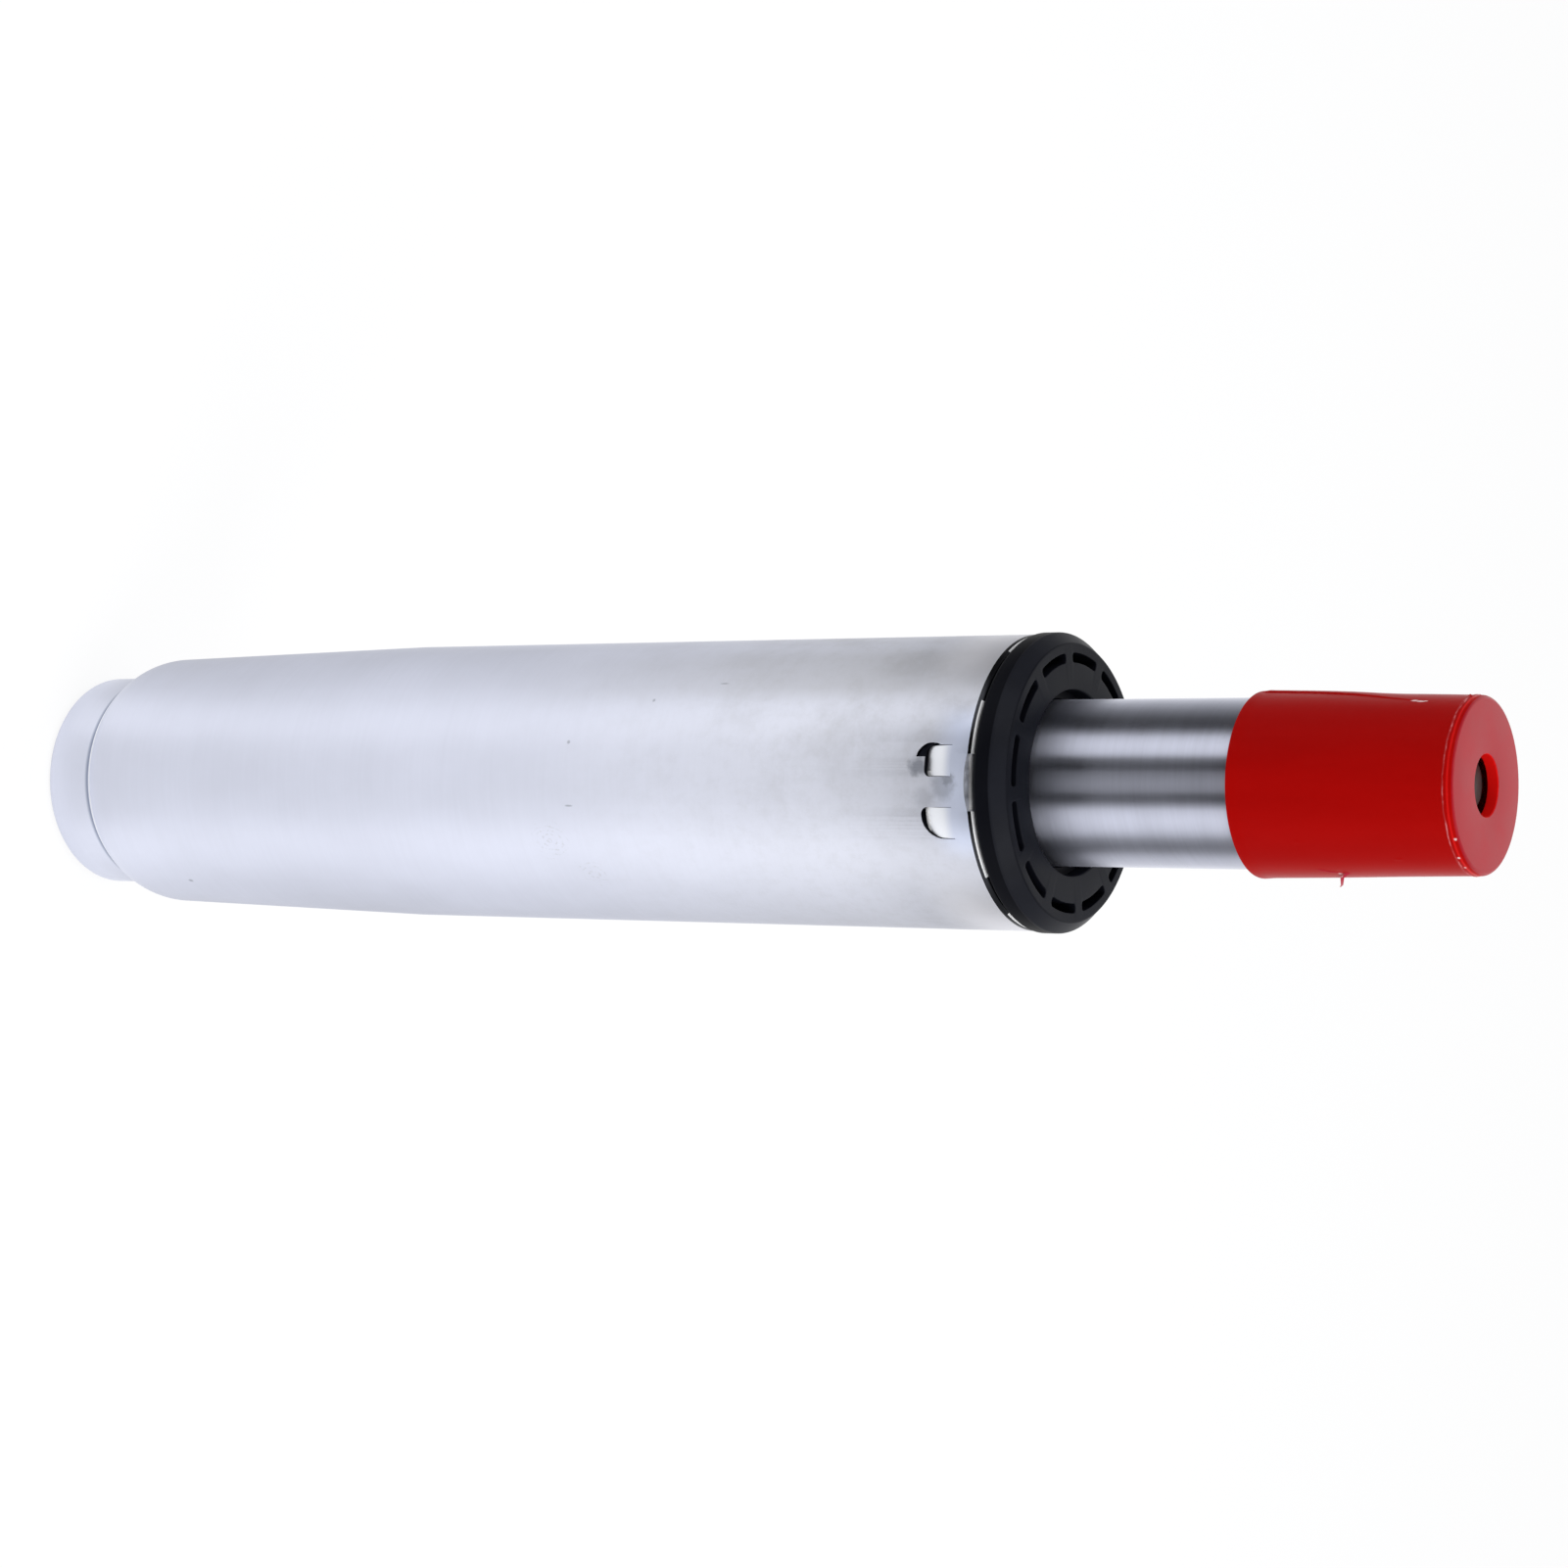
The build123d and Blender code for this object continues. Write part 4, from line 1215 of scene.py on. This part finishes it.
def fringe_loops():
    """A thin curl in the gap round the tube, which fades out at both ends."""
    loops = []
    root = CAP_FOOT + FRINGE_ROOT
    inner = seat_radius(CAP_FOOT) + 0.02
    for step in range(FRINGE_COUNT):
        angle = FRINGE_START + FRINGE_STEP * step
        strength = min(1.0, (step + 0.4) / 6, (FRINGE_COUNT - 0.6 - step) / 6)
        outer = seat_radius(CAP_FOOT) + 0.05 + 0.22 * strength
        ragged = 0.03 * noise.noise(Vector((angle * 0.2, 0.0, 7.0)))
        foot = CAP_FOOT - (0.10 + 0.16 * strength + ragged)
        section = ((inner, root), (outer, root), (outer, (foot + CAP_FOOT) / 2), (inner, foot))
        loops.append([place(angle, r, z, CAP_OFFSET / 2) for r, z in section])
    return loops


def make_flash():
    bm = bmesh.new()
    stack(bm, sliver_loops())
    stack(bm, ridge_loops())
    for face in stack(bm, fringe_loops()):
        # The fringe is painted pale as a highlight at the cap's open edge.
        face.material_index = 1
    face_outwards(bm)
    dress(new_object("cap_flash", bm), "cap", [], [flash_red, flash_pale_highlight])


make_stand()
make_bushing()
make_column()
make_valve()
make_pin()
make_rod()
make_balls()
make_ring("bottom_disc", "base_disc", DISC_BORE, 0.25, "stand", zinc)
make_ring("washer", "rod_washer", WASHER_BORE, 0.2, "rod", zinc)
make_cap()
make_flash()


# Studio, with its lengths in metres

WHITE = (1.0, 1.0, 1.0, 1.0)
FLOOR_REACH = 40.0
AIM = Vector((0.0, 0.0, 0.15))

# Softboxes, as (name, angle, rise, distance, size, power)
SOFTBOXES = (
    ("softbox_right", 60.0, 40.0, 1.1, 0.7, 6.0),
    ("softbox_left", -60.0, 40.0, 1.1, 0.7, 3.0),
    ("softbox_top", 180.0, 70.0, 1.4, 1.0, 7.0),
)

# Two screens that only gloss sees, a far one for the stand tube and a near one for the pressure
# tube: light as (azimuth, brightness), and profiles as (radius, height, share) in millimetres
STAND_LIGHT = (
    (-165, 1.35), (-150, 0.84), (-135, 0.66), (-118, 0.70), (-100, 0.76), (-72, 0.88), (-55, 1.12),
    (-42, 1.18), (-25, 0.96), (0, 0.94), (20, 0.96), (40, 1.18), (56, 1.18), (76, 1.02), (95, 0.90),
    (120, 0.79), (142, 0.65), (155, 0.80), (165, 0.98),
)
STAND_SCREEN = ((24.0, 0.6, 0.91), (160.0, 0.6, 0.94), (160.0, 110.0, 1.06), (160.0, 620.0, 1.10))
COLUMN_LIGHT = (
    (-150, 1.1), (-137, 0.88), (-122, 0.60), (-108, 0.36), (-98, 0.20), (-84, 0.07), (-70, 0.04),
    (-62, 0.42), (-56, 0.95), (-44, 1.05), (-35, 0.85), (-29, 0.08), (-18, 0.02), (-11, 0.26),
    (0, 0.38), (9, 0.34), (14, 0.08), (21, 0.05), (27, 0.35), (33, 0.85), (44, 0.95), (54, 0.90),
    (63, 0.72), (73, 0.36), (83, 0.26), (92, 0.27), (100, 0.55), (110, 0.82), (127, 0.95), (150, 1.25),
)
COLUMN_SCREEN = ((60.0, 182.0, 1.0), (60.0, 330.0, 1.0))

# The camera, as it stood for the photograph: upright object, picture turned a quarter
FOCAL_LENGTH = 85.5
SENSOR = 36.0
CAMERA_PLACE = (0.34 * MM, -553.9 * MM, 505.4 * MM)
CAMERA_TILT = 32.22
CAMERA_ROLL = 0.2


def seen_white(tree):
    """1 where a camera, glossy or transmission ray looks, and 0 for the rest."""
    path = add(tree, "LightPath")
    total = calc("ADD", path["Is Camera Ray"], path["Is Glossy Ray"])
    total = calc("ADD", total, path["Is Transmission Ray"])
    return calc("MINIMUM", total, 1.0)


def make_floor():
    bm = bmesh.new()
    corners = ((-1, -1), (1, -1), (1, 1), (-1, 1))
    bm.faces.new([bm.verts.new((x * FLOOR_REACH, y * FLOOR_REACH, 0.0)) for x, y in corners])
    floor = new_object("floor", bm)
    material, tree = new_material("floor_white")
    lit = add(tree, "BsdfDiffuse", {"Color": (0.85, 0.85, 0.86, 1.0)})[0]
    glow = add(tree, "Emission", {"Color": WHITE, "Strength": 1.06})[0]
    share = times(seen_white(tree), 0.82)
    mixed = add(tree, "MixShader", {0: share, 1: lit, 2: glow})[0]
    add(tree, "OutputMaterial", {"Surface": mixed})
    floor.data.materials.append(material)


def make_screen(name, table, profile):
    """A screen swept round the axis, one degree at a time."""
    bm = bmesh.new()
    glow = bm.verts.layers.float.new("glow")
    rows = []
    for azimuth in range(table[0][0], table[-1][0] + 1):
        row = []
        for radius, height, share in profile:
            vert = bm.verts.new(place(azimuth, radius, height))
            vert[glow] = share * look_up(table, azimuth, smooth=True)
            row.append(vert)
        rows.append(row)
    for row, following in zip(rows, rows[1:]):
        for index in range(len(profile) - 1):
            bm.faces.new((row[index], following[index], following[index + 1], row[index + 1]))
    screen = new_object(name, bm)
    material, tree = new_material(name + "_light")
    strength = add(tree, "Attribute", attribute_name="glow")["Fac"]
    shine = add(tree, "Emission", {"Color": WHITE, "Strength": strength})
    add(tree, "OutputMaterial", {"Surface": shine[0]})
    screen.data.materials.append(material)
    for ray in ("camera", "diffuse", "shadow", "transmission"):
        setattr(screen, "visible_" + ray, False)


def make_world():
    world = bpy.data.worlds.new("studio")
    world.use_nodes = True
    tree = world.node_tree
    tree.nodes.clear()
    fill = add(tree, "Background", {"Color": (0.95, 0.97, 1.0, 1.0), "Strength": 0.36})[0]
    seen = add(tree, "Background", {"Color": WHITE, "Strength": 1.0})[0]
    mixed = add(tree, "MixShader", {0: seen_white(tree), 1: fill, 2: seen})[0]
    add(tree, "OutputWorld", {"Surface": mixed})
    bpy.context.scene.world = world


def make_camera():
    camera = bpy.data.cameras.new("camera")
    camera.lens = FOCAL_LENGTH
    camera.sensor_width = SENSOR
    obj = bpy.data.objects.new("camera", camera)
    tilt = radians(CAMERA_TILT)
    roll = radians(CAMERA_ROLL)
    level = Vector((0.0, sin(tilt), cos(tilt)))
    over = Vector((-1.0, 0.0, 0.0))
    right = level * cos(roll) + over * sin(roll)
    up = over * cos(roll) - level * sin(roll)
    back = right.cross(up)
    turned = Matrix((right, up, back)).transposed().to_4x4()
    obj.matrix_world = Matrix.Translation(CAMERA_PLACE) @ turned
    bpy.context.scene.collection.objects.link(obj)
    bpy.context.scene.camera = obj


def make_softbox(name, angle, lift, distance, size, power):
    light = bpy.data.lights.new(name, "AREA")
    light.shape = "SQUARE"
    light.size = size
    light.energy = power
    obj = bpy.data.objects.new(name, light)
    turn = radians(angle)
    rise = radians(lift)
    out = Vector((sin(turn) * cos(rise), -cos(turn) * cos(rise), sin(rise)))
    obj.location = AIM + distance * out
    obj.rotation_euler = out.to_track_quat("Z", "Y").to_euler()
    obj.visible_camera = False
    bpy.context.scene.collection.objects.link(obj)


make_floor()
make_screen("far_screen", STAND_LIGHT, STAND_SCREEN)
make_screen("near_screen", COLUMN_LIGHT, COLUMN_SCREEN)
make_world()
make_camera()
for softbox in SOFTBOXES:
    make_softbox(*softbox)
bpy.context.scene.view_settings.view_transform = "Standard"
